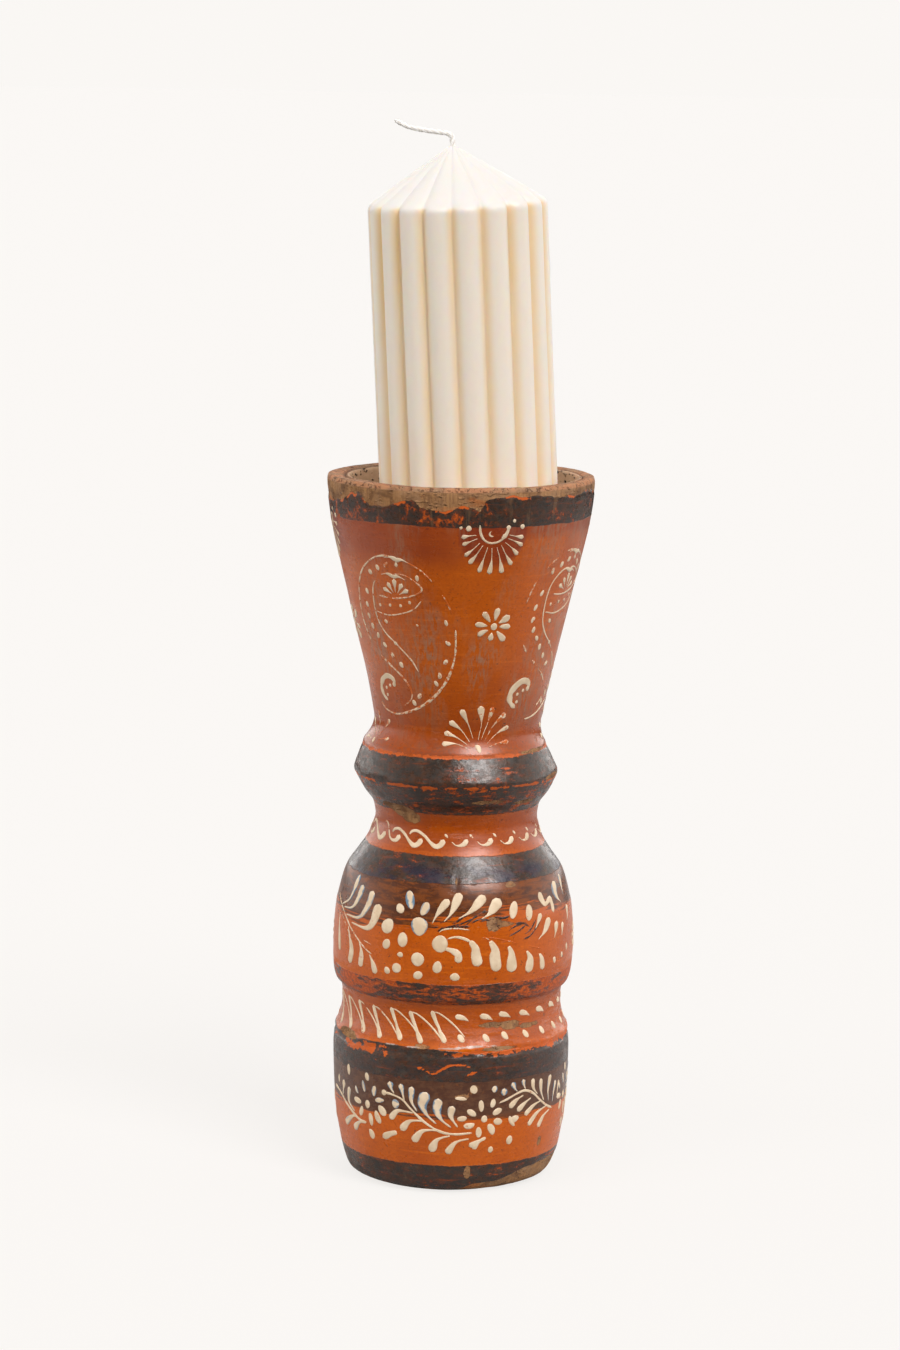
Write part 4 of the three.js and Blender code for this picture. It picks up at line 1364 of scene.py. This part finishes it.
def belly_dark(layer, azimuth):
    """Thin dark brush marks behind the spray, each drawn twice by a dry brush."""
    brush = Brush(layer, azimuth, BELLY_HEIGHT)
    for path in BELLY_DARK:
        brush.line(path, random.uniform(0.45, 0.9), gaps=0.22)
        shifted = [(u + random.uniform(-1, 2.5), v + random.uniform(-1.2, 0.6)) for u, v in path]
        brush.line(shifted, random.uniform(0.3, 0.5), gaps=0.5)


GROOVE_STROKES = 30
ZIGZAG_THICK = [(4.6, -5.2), (2.6, -1.2), (1.2, 1.6), (-0.3, 5.6)]
ZIGZAG_FOOT = [(2.0, -0.4), (3.2, -2.8), (5.4, -7.0)]
ZIGZAG_THIN = [(0.2, 5.2), (2.6, 4.6), (6.1, 2.2), (9.6, -1.0), (13.0, -4.8)]
GROOVE_COMMA = [(4.4, 2.2), (2.4, 3.4), (-0.9, 4.2)]


def groove_zigzag(layer):
    """The groove's row: a zigzag of thick and thin strokes, and rows of dabs where it thins out."""
    for i in range(GROOVE_STROKES):
        azimuth = -177 + i * 360 / GROOVE_STROKES + random.normal(0, 0.5)
        brush = Brush(layer, azimuth, GROOVE_ROW_HEIGHT + random.normal(0, 0.2), 0.08)
        if -92 < azimuth < 2 or azimuth < -140 or azimuth > 118:
            fading = 0.5 if -8 < azimuth < 5 else 0.0
            brush.leaf(ZIGZAG_THICK, 1.8, tail_width=1.0, neck=0.6, fade=fading)
            brush.leaf(ZIGZAG_FOOT, 2.3, tail_width=0.8, neck=0.4)
            brush.line(ZIGZAG_THIN, 0.62, gaps=0.12 + fading, fade=0.1 + fading)
        else:
            brush.leaf(GROOVE_COMMA, 2.4, tail_width=0.45, neck=0.3, fade=random.uniform(0, 0.25))
            brush.dab(1.6, -4.5, 2.5, 3.6, tilt=-35, fade=random.uniform(0, 0.35))


SPRAY_STEM = [
    (-18.6, 9.0), (-16, 8.9), (-12.6, 8.2), (-9.9, 6.9), (-7.2, 4.2), (-3.9, 1.2), (-0.7, -1.4),
    (3.2, -3.8), (6.9, -5.2), (11.9, -5.6), (17.6, -5.1),
]
SPRAY_UPPER = [
    ([(-14.0, 9.4), (-15.3, 11.2), (-16.0, 14.0)], 2.9),
    ([(-9.6, 7.0), (-10.3, 10.0), (-11.2, 13.6)], 2.4),
    ([(-4.2, 3.2), (-6.4, 6.6), (-6.6, 9.8), (-6.4, 13.0)], 2.9),
    ([(3.4, -1.4), (-0.4, 2.2), (-2.0, 6.4), (-0.4, 11.2)], 4.7),
    ([(9.2, -2.8), (5.6, 0.2), (3.8, 4.0), (4.4, 8.9)], 4.1),
    ([(11.8, -2.6), (9.6, 0.8), (9.2, 3.0), (9.9, 6.0)], 3.0),
]
SPRAY_LOWER = [
    ([(-6.0, 2.3), (-9.8, 2.6), (-12.8, 2.2), (-15.8, -1.4)], 3.0),
    ([(-1.8, -0.7), (-4.8, -0.7), (-7.8, -1.6), (-11.0, -5.4)], 3.3),
    ([(4.4, -4.2), (0.8, -4.2), (-2.6, -5.2), (-5.9, -9.6)], 3.5),
    ([(8.8, -6.3), (5.6, -7.2), (3.2, -8.8), (1.2, -13.4)], 3.6),
    ([(16.2, -7.6), (12.4, -8.4), (10.0, -10.0), (7.4, -14.0)], 3.0),
    ([(22.8, -8.0), (20.4, -9.0), (17.6, -12.0)], 2.5),
]
ARCH_STEM = [
    (-14.6, 2.4), (-11.0, 3.6), (-6.6, 5.4), (-2.8, 6.1), (1.5, 4.4), (5.5, 1.1), (10.0, -2.1),
    (14.6, -4.2),
]
ARCH_UPPER = [
    ([(-6.4, 6.2), (-7.6, 7.4), (-9.0, 10.2)], 2.5, 0.9),
    ([(-2.6, 6.6), (-3.4, 8.4), (-4.0, 10.8)], 2.2, 0.7),
    ([(4.0, 3.6), (1.6, 6.6), (1.2, 10.4)], 2.3, 0.0), ([(8.1, 0.3), (6.2, 4.4), (5.8, 9.6)], 2.3, 0.3),
    ([(11.4, -0.5), (10.8, 4.4), (12.2, 10.0)], 2.2, 0.6),
    ([(14.4, -1.6), (15.2, 2.4), (16.4, 6.8)], 1.8, 0.8),
    ([(18.4, 0.4), (19.0, 3.0), (19.8, 6.2)], 1.7, 0.0),
]
ARCH_LOWER = [
    ([(-3.6, 4.2), (-6.4, 3.0), (-10.0, 0.0)], 2.7), ([(0.4, 2.6), (-2.8, 0.8), (-6.2, -1.9)], 2.4),
    ([(6.3, 0.5), (2.0, -0.9), (-2.4, -4.0)], 2.3), ([(10.0, -2.4), (4.4, -4.2), (-0.3, -8.6)], 2.4),
    ([(12.4, -4.4), (8.4, -6.4), (5.4, -10.4)], 2.3),
]


def falling_spray(layer, azimuth):
    """A stem that sweeps down to the right, with commas above and below it."""
    brush = Brush(layer, azimuth, SPRAY_HEIGHT)
    brush.line(SPRAY_STEM, 1.0)
    brush.dab(-18.4, 9.0, 2.6, 2.2)
    for path, width in SPRAY_UPPER:
        brush.leaf(path, width, tail_width=0.8, neck=0.55, blue=0.85 if path[-1][1] > 8 else 0.3)
    for path, width in SPRAY_LOWER:
        brush.leaf(path, width, tail_width=0.8, neck=0.6)


def arching_spray(layer, azimuth):
    """A stem that rises and falls again, with short leaves along it."""
    brush = Brush(layer, azimuth, ARCH_HEIGHT, 0.02)
    brush.line(ARCH_STEM, 0.95)
    for u, v, width in ((-16.9, 8.2, 2.6), (-12.6, 6.7, 2.9)):
        brush.dab(u, v, width, width, blue=0.9)
    for path, width, blue in ARCH_UPPER:
        brush.leaf(path, width, tail_width=0.6, neck=0.5, blue=blue)
    for path, width in ARCH_LOWER:
        brush.leaf(path, width, tail_width=0.7, neck=0.5)


# Dabs as place, width, length and tilt: a flower's petals, the loose ones round it, and a posy.
BARREL_PETALS = [
    (-1.3, 5.3, 2.3, 4.7, -4), (3.4, 6.2, 2.3, 3.6, 10), (5.5, 2.5, 2.7, 4.2, 62),
    (5.9, -1.4, 3.0, 3.7, 100), (2.8, -4.6, 3.0, 4.9, 152), (-2.1, -5.4, 2.6, 4.4, 190),
    (-5.9, -2.0, 2.7, 4.2, 250), (-5.0, 2.7, 2.6, 4.2, 300), (-8.8, 0.6, 2.4, 3.8, 260),
]
BARREL_DABS_RIGHT = [
    (13.2, -1.6, 3.0, 4.4, 70), (12.2, -2.0, 2.0, 5.0, -30), (11.7, -9.9, 2.9, 3.7, 5),
    (3.5, -13.1, 2.3, 2.7, 0),
]
BARREL_DABS_LEFT = [(-4.6, 12.0, 3.1, 3.4, -20), (-9.4, 8.4, 1.6, 4.6, 96)]
POSY_DABS = [
    (-5.6, 0.4, 2.6, 4.6, 280), (-3.6, -3.4, 2.4, 4.2, 20), (1.9, -5.9, 2.4, 5.2, -8),
    (5.9, -4.2, 2.8, 5.4, -24), (7.9, -1.3, 3.4, 4.8, -42), (6.8, 2.7, 2.2, 4.4, 82),
    (4.4, 6.0, 2.5, 4.2, 6), (-1.6, 7.0, 1.8, 4.6, -16), (-5.8, 4.8, 1.6, 3.2, -30),
    (0.6, 11.3, 2.4, 3.4, -16), (14.4, 2.4, 3.9, 3.1, 80),
]
SPRIG_STEM = [(-13.1, 5.8), (-5.9, 4.2), (-0.4, 1.2), (5.1, -1.8), (9.3, -3.7), (13.1, -3.9)]
SPRIG_LEAVES = [
    ([(-3.4, 4.0), (-2.8, 6.4), (-1.8, 10.2)], 2.8), ([(5.8, -0.8), (1.8, 2.6), (2.6, 8.4)], 2.5),
    ([(9.6, -3.6), (4.8, -3.0), (-2.6, -7.6)], 3.0), ([(12.6, -4.2), (8.6, -4.8), (4.6, -8.4)], 2.9),
]
# The garland's groups of figures, how many of them have an arch, and where each figure stands.
GARLAND_GROUPS = 3
GARLAND_ARCHES = 2
SPRAY_TURN = -11
FLOWER_TURN = 16.6
ARCH_TURN = 42
POSY_TURN = -45
SPRIG_TURN = -62


def barrel_flower(layer, azimuth):
    """A flower of irregular petals with loose dabs around it."""
    brush = Brush(layer, azimuth, BARREL_FLOWER_HEIGHT)
    brush.dab(0, 0, 2.7, 2.9)
    for u, v, width, length, tilt in BARREL_PETALS:
        brush.dab(u, v, width, length, tilt + random.normal(0, 5))
    for dab in BARREL_DABS_RIGHT:
        brush.dab(*dab)
    brush.leaf([(1.0, -7.8), (-2.0, -9.4), (-5.6, -11.2)], 2.5, tail_width=1.3, neck=0.6)
    for dab in BARREL_DABS_LEFT:
        brush.dab(*dab)


def posy(layer, azimuth):
    """Loose dabs round a dot, blue at the edges where they lie on the dark wash."""
    brush = Brush(layer, azimuth, POSY_HEIGHT)
    brush.dab(0, 0, 2.7, 3.3)
    for u, v, width, length, tilt in POSY_DABS:
        brush.dab(u, v, width, length, tilt, blue=0.7 if v > 2 else 0)


def low_leaf(layer, azimuth):
    """The leaf and dab that hang below the falling spray."""
    brush = Brush(layer, azimuth, SPRAY_HEIGHT)
    brush.dab(-25.4, -9.4, 2.9, 4.2, -24)
    brush.leaf([(-12.8, -6.6), (-15.4, -7.4), (-19.4, -9.6)], 3.0, tail_width=2.0, neck=0.5)


def left_sprig(layer, azimuth):
    """A short stem with four leaves at the front's left edge."""
    brush = Brush(layer, azimuth, LEFT_SPRIG_HEIGHT)
    brush.line(SPRIG_STEM, 1.1)
    for path, width in SPRIG_LEAVES:
        brush.leaf(path, width, tail_width=0.8, neck=0.55, blue=0.3)
    brush.dab(2.3, 15.4, 2.2, 4.4, -6)
    brush.dab(-7.2, 9.6, 1.7, 3.4, 0)


def barrel_garland(layer):
    """Flowers and posies round the lower barrel, with falling and arching sprays between them."""
    for i in range(GARLAND_GROUPS):
        turn = i * 360 / GARLAND_GROUPS + random.normal(0, 2) * (i > 0)
        falling_spray(layer, turn + SPRAY_TURN)
        barrel_flower(layer, turn + FLOWER_TURN)
        if i < GARLAND_ARCHES:
            arching_spray(layer, turn + ARCH_TURN)
        posy(layer, turn + POSY_TURN)
        low_leaf(layer, turn + SPRAY_TURN)
        if i == 0:
            left_sprig(layer, turn + SPRIG_TURN)


def lay_ornament(surface, cream, dark):
    """All painted figures, as one piece for each zone of the stick."""
    cup = PaintLayer(surface, "ornament_cup")
    for i, azimuth in enumerate(SUNBURSTS):
        sunburst(cup, azimuth, 0.05 + 0.1 * (i % 2))
    for figure in PAISLEYS:
        paisley(cup, *figure)
    for azimuth, height in FLOWERS:
        flower(cup, azimuth, height, reach=6.9, fade=0.05, scale=1.05)
    for azimuth, scale in CUP_FANS:
        cup_fan(cup, azimuth, scale)
    neck = PaintLayer(surface, "ornament_neck")
    neck_scroll(neck)
    belly = PaintLayer(surface, "ornament_belly")
    strokes = PaintLayer(surface, "brush_marks_belly", 0.6)
    for azimuth in BELLY_SPRAYS:
        belly_spray(belly, azimuth)
        plume(belly, azimuth + PLUME_TURN)
        belly_dark(strokes, azimuth)
        flower(belly, azimuth + BELLY_FLOWER_TURN, BELLY_FLOWER_HEIGHT, fade=0.1)
    groove = PaintLayer(surface, "ornament_groove")
    groove_zigzag(groove)
    barrel = PaintLayer(surface, "ornament_barrel")
    barrel_garland(barrel)
    for layer in (cup, neck, belly, groove, barrel):
        layer.build(cream, "lacquered_wood")
    strokes.build(dark, "lacquered_wood")


# ---------------------------------------------------------------- candle
RIB_COUNT = 18
RIB_COLUMNS = 16
CANDLE_RADIUS = 35
GROOVE_RADIUS = 32.1
# Turn of the first groove, in degrees.
GROOVE_PHASE = -94
CANDLE_STRAIGHT = 128.4
CANDLE_HEIGHT = 150
# Share of the radius left at the shoulder's edge, and how far that edge stands above the straight.
SHOULDER_SHARE = 0.975
SHOULDER_RISE = 0.55
TIP_RADIUS = 2.0
TIP_DRIFT = -1.0
CONE_BOW = 0.97
WICK_STRANDS = 3
WICK_TWIST = 2.3
WICK_RADIUS = 0.90
WICK_SIDES = 20
WICK_PATH = [
    (0, 0, -3), (0, 0, 1.5), (-0.2, 0, 3.4), (-1.6, -0.2, 4.9), (-6, -0.5, 5.8), (-12, -0.2, 6.9),
    (-17.5, 0.4, 8.4), (-22, 0.5, 11),
]


def candle_frame():
    """The base centre and turn of the leaning candle, read from its joint and its CAD node."""
    axis = Vector(frame["joints"][0]["axis"]).normalized()
    points = [v.co.copy() for v in frame["nodes"]["pillar_candle"].data.vertices]
    lowest = min(p.dot(axis) for p in points)
    ring = [p for p in points if p.dot(axis) < lowest + 0.0002]
    centre = sum(ring, Vector()) / len(ring)
    return centre, Vector((0, 0, 1)).rotation_difference(axis)


def rib_radius(turn):
    """Outline of the round ribs at a turn in degrees: arcs that meet at the groove radius."""
    pitch = 360 / RIB_COUNT
    from_crest = np.radians(((turn - GROOVE_PHASE) / pitch % 1 - 0.5) * pitch)
    half = math.radians(pitch / 2)
    chord = GROOVE_RADIUS * math.sin(half)
    sagitta = CANDLE_RADIUS - GROOVE_RADIUS * math.cos(half)
    arc = (chord ** 2 + sagitta ** 2) / (2 * sagitta)
    centre = CANDLE_RADIUS - arc
    reach = np.sqrt(np.maximum(arc ** 2 - (centre * np.sin(from_crest)) ** 2, 0))
    return centre * np.cos(from_crest) + reach


def leaning(points):
    """Points of the upright candle, in millimetres, moved into its leaning place."""
    centre, turn = candle_frame()
    matrix = np.array(turn.to_matrix())
    return points @ matrix.T + np.array(centre) / MM


def candle_rows():
    """Pairs of (share of the full radius, height) from the base up over the shoulder to the tip."""
    rows = [(0.06, 0), (0.5, 0), (0.975, 0), (0.993, 0.35), (1, 1.2)]
    rows += [(1, z) for z in np.linspace(4, CANDLE_STRAIGHT - 3, 34)]
    shoulder = [(1, -2.0), (0.997, -1.0), (0.989, -0.15), (SHOULDER_SHARE, SHOULDER_RISE)]
    rows += [(share, CANDLE_STRAIGHT + rise) for share, rise in shoulder]
    climb = CANDLE_HEIGHT - CANDLE_STRAIGHT - 0.9
    for t in np.linspace(0.05, 1, 20):
        share = SHOULDER_SHARE + (TIP_RADIUS / CANDLE_RADIUS - SHOULDER_SHARE) * t
        rows.append((share, CANDLE_STRAIGHT + SHOULDER_RISE + climb * t ** CONE_BOW))
    rows += [(0.03, CANDLE_HEIGHT + 0.1)]
    return np.array(rows)


def candle_body():
    """The cast wax: ribs, grooves that run on up the cone, and slight casting unevenness."""
    rows = candle_rows()
    turn = np.arange(RIB_COUNT * RIB_COLUMNS) * 360 / (RIB_COUNT * RIB_COLUMNS) + GROOVE_PHASE
    outline = rib_radius(turn)
    share, height = rows[:, :1], rows[:, 1:]
    depth = (CANDLE_RADIUS - outline) / (CANDLE_RADIUS - GROOVE_RADIUS)
    on_cone = ramp(height, CANDLE_STRAIGHT, CANDLE_STRAIGHT + 4)
    keep = 1 - on_cone * (0.25 + 0.25 * (1 + np.cos(np.radians(turn))))[None, :]
    r = (CANDLE_RADIUS - (CANDLE_RADIUS - outline[None, :]) * keep) * share
    a = np.radians(turn)[None, :]
    x, y, z = r * np.cos(a), r * np.sin(a), height + 0 * r
    cast = 0.12 * rough_noise(x, y, z * 0.5, 30, 51, 2) + 0.04 * rough_noise(x, y, z, 7, 52, 2)
    r = r + cast * np.minimum(share * 1.2, 1)
    crease = depth[None, :] * on_cone * share * (0.36 - 0.32 * np.cos(a))
    sag = smooth_noise(turn[None, :] / 20, height * 0, height * 0, 53) * ramp(height, 120, 129)
    drift = TIP_DRIFT * ramp(height, CANDLE_STRAIGHT, CANDLE_HEIGHT)
    points = np.stack([r * np.cos(a) + drift, r * np.sin(a), z - crease + 0.22 * sag], -1)
    ends = np.array([(0, 0, 0), (TIP_DRIFT, 0, CANDLE_HEIGHT + 0.15)])
    # Painted light stored on the points: a warm glow in the grooves, and where the cone's own tone takes
    # over.
    groove_light_and_shade = groove_glow_and_shade(turn)[None, :] * (1 - ramp(height, CANDLE_STRAIGHT - 1, CANDLE_STRAIGHT + 1))
    groove_light_and_shade = groove_light_and_shade * (0.75 + 0.25 * ramp(height, 60, 128))
    on_top = np.broadcast_to(ramp(height, CANDLE_STRAIGHT - 4, CANDLE_STRAIGHT + 1.2), groove_light_and_shade.shape)
    return leaning(points), {"groove": groove_light_and_shade, "cone_lit_tone": on_top}, leaning(ends)


def groove_glow_and_shade(turn):
    """Painted light and shade in the grooves, a warm glow: it reaches further up one flank of a rib, and
    the flank changes round it.
    """
    across = (turn - GROOVE_PHASE) * RIB_COUNT / 360 % 1
    to_right = 0.5 + 0.5 * np.cos(np.radians(turn))
    right_flank = (0.55 + 0.45 * to_right) * ramp(across, 0.16 + 0.22 * to_right, 0.0)
    left_flank = (1.0 - 0.45 * to_right) * ramp(1 - across, 0.38 - 0.22 * to_right, 0.0)
    return 0.95 * np.maximum(right_flank, left_flank)


def wick_body():
    """Twisted cotton along the wick's path: three strands wound round each other."""
    path = smooth_path(np.array(WICK_PATH, float), 0.22)
    lengths = path_lengths(path)
    tangent = np.gradient(path, axis=0)
    tangent /= np.linalg.norm(tangent, axis=1, keepdims=True)
    side = np.cross(tangent, np.array([0, 1.0, 0.05]))
    side /= np.linalg.norm(side, axis=1, keepdims=True)
    other = np.cross(tangent, side)
    phi = np.linspace(0, 2 * math.pi, WICK_SIDES, endpoint=False)
    strand = 0.5 + 0.5 * np.cos(WICK_STRANDS * phi[None, :] - lengths[:, None] * WICK_TWIST)
    uneven = smooth_noise(lengths, lengths * 0, lengths * 0, 61)
    size = WICK_RADIUS + 0.28 * np.exp(-lengths / 6) + 0.06 * uneven
    size = size * np.sqrt(np.clip((lengths[-1] - lengths) / 0.8, 0.12, 1))
    r = size[:, None] * (0.96 + 0.12 * strand)
    ring = side[:, None, :] * np.cos(phi)[None, :, None]
    ring = ring + other[:, None, :] * np.sin(phi)[None, :, None]
    points = path[:, None, :] + r[..., None] * ring
    rise = np.array([TIP_DRIFT, 0, CANDLE_HEIGHT])
    ends = np.array([path[0], path[-1]])
    return leaning(points + rise), {"strand": strand}, leaning(ends + rise)


def make_candle():
    points, fields, ends = candle_body()
    candle = grid_mesh("ribbed_candle", points, fields, ends)
    candle.data.materials.append(candle_wax())
    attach(candle, "candle")
    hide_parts("pillar_candle")
    points, fields, ends = wick_body()
    wick = grid_mesh("twisted_wick", points, fields, ends)
    wick.data.materials.append(waxed_cotton())
    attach(wick, "candle")
    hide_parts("wick")


def make_stick():
    surface = StickSurface()
    ends = np.array([(0, 0, 0), (MOUTH_SHIFT, 0, RECESS_FLOOR)])
    fields = {name: values[1:-1] for name, values in surface.fields.items()}
    stick = grid_mesh("painted_stick", surface.points[1:-1], fields, ends)
    stick.data.materials.append(painted_wood())
    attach(stick, "holder")
    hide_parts("turned_stick")
    lay_ornament(surface, cream_paint(), dark_paint())


# ---------------------------------------------------------------- studio
# Places in metres and turns in degrees.
CAMERA_DISTANCE = 1.62
CAMERA_HEIGHT = 0.4506
CAMERA_ASIDE = -0.0033
CAMERA_PITCH = 8.8
CAMERA_ROLL = 0.82
SENSOR = 36
FOCAL_LENGTH = 110.67
# How bright the world's walls are, and the directions, front to back, between which they light up.
WALLS_BEGIN = -0.85
WALLS_FULL = 0.35
FRONT_DIM = 0.03
WALL_WHITE = 2.6
# Heights of the directions between which the ceiling darkens, and what is left of it.
CEILING_BEGINS = 0.05
CEILING_FULL = 0.65
CEILING_DIM = 0.1
# The floor as the camera sees it, and the table that the object's gloss and shade meet.
FLOOR_SIZE = 30.0
FLOOR_DROP = 0.0002
FLOOR_ALBEDO = 0.12
FLOOR_GLOW = 0.855
TABLE_EDGE = 1.8
TABLE_ALBEDO = 0.62
TABLE_BEYOND = 0.02
TABLE_FRONT = 0.2
TABLE_NEAR = 0.65
NEAR_FOOT = (0.12, 0.30)


def make_camera():
    data = bpy.data.cameras.new("camera")
    data.sensor_width = SENSOR
    data.lens = FOCAL_LENGTH
    camera = placed("camera", data)
    camera.location = (CAMERA_ASIDE, -CAMERA_DISTANCE, CAMERA_HEIGHT)
    pitch = math.radians(CAMERA_PITCH)
    look = Vector((0, math.cos(pitch), -math.sin(pitch))).to_track_quat("-Z", "Y").to_matrix()
    roll = Matrix.Rotation(math.radians(CAMERA_ROLL), 3, "Z")
    camera.rotation_euler = (look @ roll).to_euler()
    bpy.context.scene.camera = camera


def make_world():
    """Studio white to the camera. The object meets a dim front, white walls and a darker ceiling."""
    world = bpy.data.worlds.new("studio")
    bpy.context.scene.world = world
    world.use_nodes = True
    nodes, links = world.node_tree.nodes, world.node_tree.links
    background = nodes["Background"]
    background.inputs["Color"].default_value = (*STUDIO_WHITE, 1)
    split = nodes.new("ShaderNodeSeparateXYZ")
    links.new(nodes.new("ShaderNodeTexCoord").outputs["Generated"], split.inputs[0])

    def brightness(axis, kind, *limits):
        made = nodes.new("ShaderNodeMapRange")
        made.interpolation_type = kind
        links.new(split.outputs[axis], made.inputs["Value"])
        for number, socket in zip(limits, list(made.inputs)[1:5]):
            socket.default_value = number
        return made.outputs["Result"]

    walls = brightness("Y", "SMOOTHSTEP", WALLS_BEGIN, WALLS_FULL, FRONT_DIM, WALL_WHITE)
    ceiling = brightness("Z", "LINEAR", CEILING_BEGINS, CEILING_FULL, 1.0, CEILING_DIM)
    room = nodes.new("ShaderNodeMath")
    room.operation = "MULTIPLY"
    links.new(walls, room.inputs[0])
    links.new(ceiling, room.inputs[1])
    pick = nodes.new("ShaderNodeMix")
    links.new(nodes.new("ShaderNodeLightPath").outputs["Is Camera Ray"], pick.inputs["Factor"])
    links.new(room.outputs[0], pick.inputs[2])
    pick.inputs[3].default_value = 1.0
    links.new(pick.outputs[0], background.inputs["Strength"])


def vector_node(f, operation, vector):
    made = f.nodes.new("ShaderNodeVectorMath")
    made.operation = operation
    f.feed(vector, made.inputs[0])
    return made


def table_brightness(f):
    """How bright the table is to anything but the camera: dim in front, bright close to the foot."""
    distance = vector_node(f, "LENGTH", f.object_coords).outputs["Value"]
    table = f.ramp(distance, TABLE_EDGE, TABLE_EDGE * 0.4, TABLE_BEYOND, TABLE_ALBEDO)
    split = f.nodes.new("ShaderNodeSeparateXYZ")
    f.feed(vector_node(f, "NORMALIZE", f.object_coords).outputs["Vector"], split.inputs[0])
    behind = f.ramp(split.outputs["Y"], -0.9, -0.1, TABLE_FRONT, 1.0)
    beside_foot, clear_of_foot = NEAR_FOOT
    near = f.ramp(distance, clear_of_foot, beside_foot, 0.0, TABLE_NEAR)
    return f.times(table, f.highest(behind, near))


def floor_paper():
    """Pale paper, filled in with its own light for the camera so that only soft shadows show on it."""
    f = Finish("pale_floor")
    seen = f.nodes.new("ShaderNodeLightPath").outputs["Is Camera Ray"]
    grain = f.ramp(f.noise(900, 2), 0.3, 0.7, 0.985, 1.0)
    paper = f.times(seen, f.times(grain, FLOOR_ALBEDO))
    white = f.plus(paper, f.times(f.minus(1.0, seen), table_brightness(f)))
    return f.finish(Base_Color=white, Roughness=1.0, IOR=1.0,
                    Emission_Color=STUDIO_WHITE, Emission_Strength=f.times(seen, FLOOR_GLOW))


def make_floor():
    mesh = bpy.data.meshes.new("floor")
    size = FLOOR_SIZE
    corners = [(-size, -size, 0), (size, -size, 0), (size, size, 0), (-size, size, 0)]
    mesh.from_pydata(corners, [], [(0, 1, 2, 3)])
    mesh.materials.append(floor_paper())
    floor = placed("floor", mesh)
    floor.location.z = -FLOOR_DROP


def sun(name, azimuth, elevation, width, energy, colour):
    """A far soft lamp: azimuth 0 stands behind the camera and 90 to the right."""
    data = bpy.data.lights.new(name, "SUN")
    data.angle = math.radians(width)
    data.energy = energy
    data.color = colour
    light = placed(name, data)
    a, e = math.radians(azimuth), math.radians(elevation)
    towards = Vector((math.sin(a) * math.cos(e), -math.cos(a) * math.cos(e), math.sin(e)))
    light.rotation_euler = towards.to_track_quat("Z", "Y").to_euler()
    return light


def make_lights():
    """A window at the front right, a fill from the left hidden from gloss, and a sheen only in gloss."""
    sun("window", 34, 46, 30, 2.35, WINDOW_LIGHT)
    fill = sun("fill", -34, 42, 60, 1.45, FILL_LIGHT)
    fill.visible_glossy = False
    sheen = sun("sheen", 40, 48, 46, 1.8, SHEEN_LIGHT)
    sheen.visible_diffuse = False


def main():
    bpy.context.scene.view_settings.view_transform = "Standard"
    make_camera()
    make_stick()
    make_candle()
    make_world()
    make_floor()
    make_lights()


main()
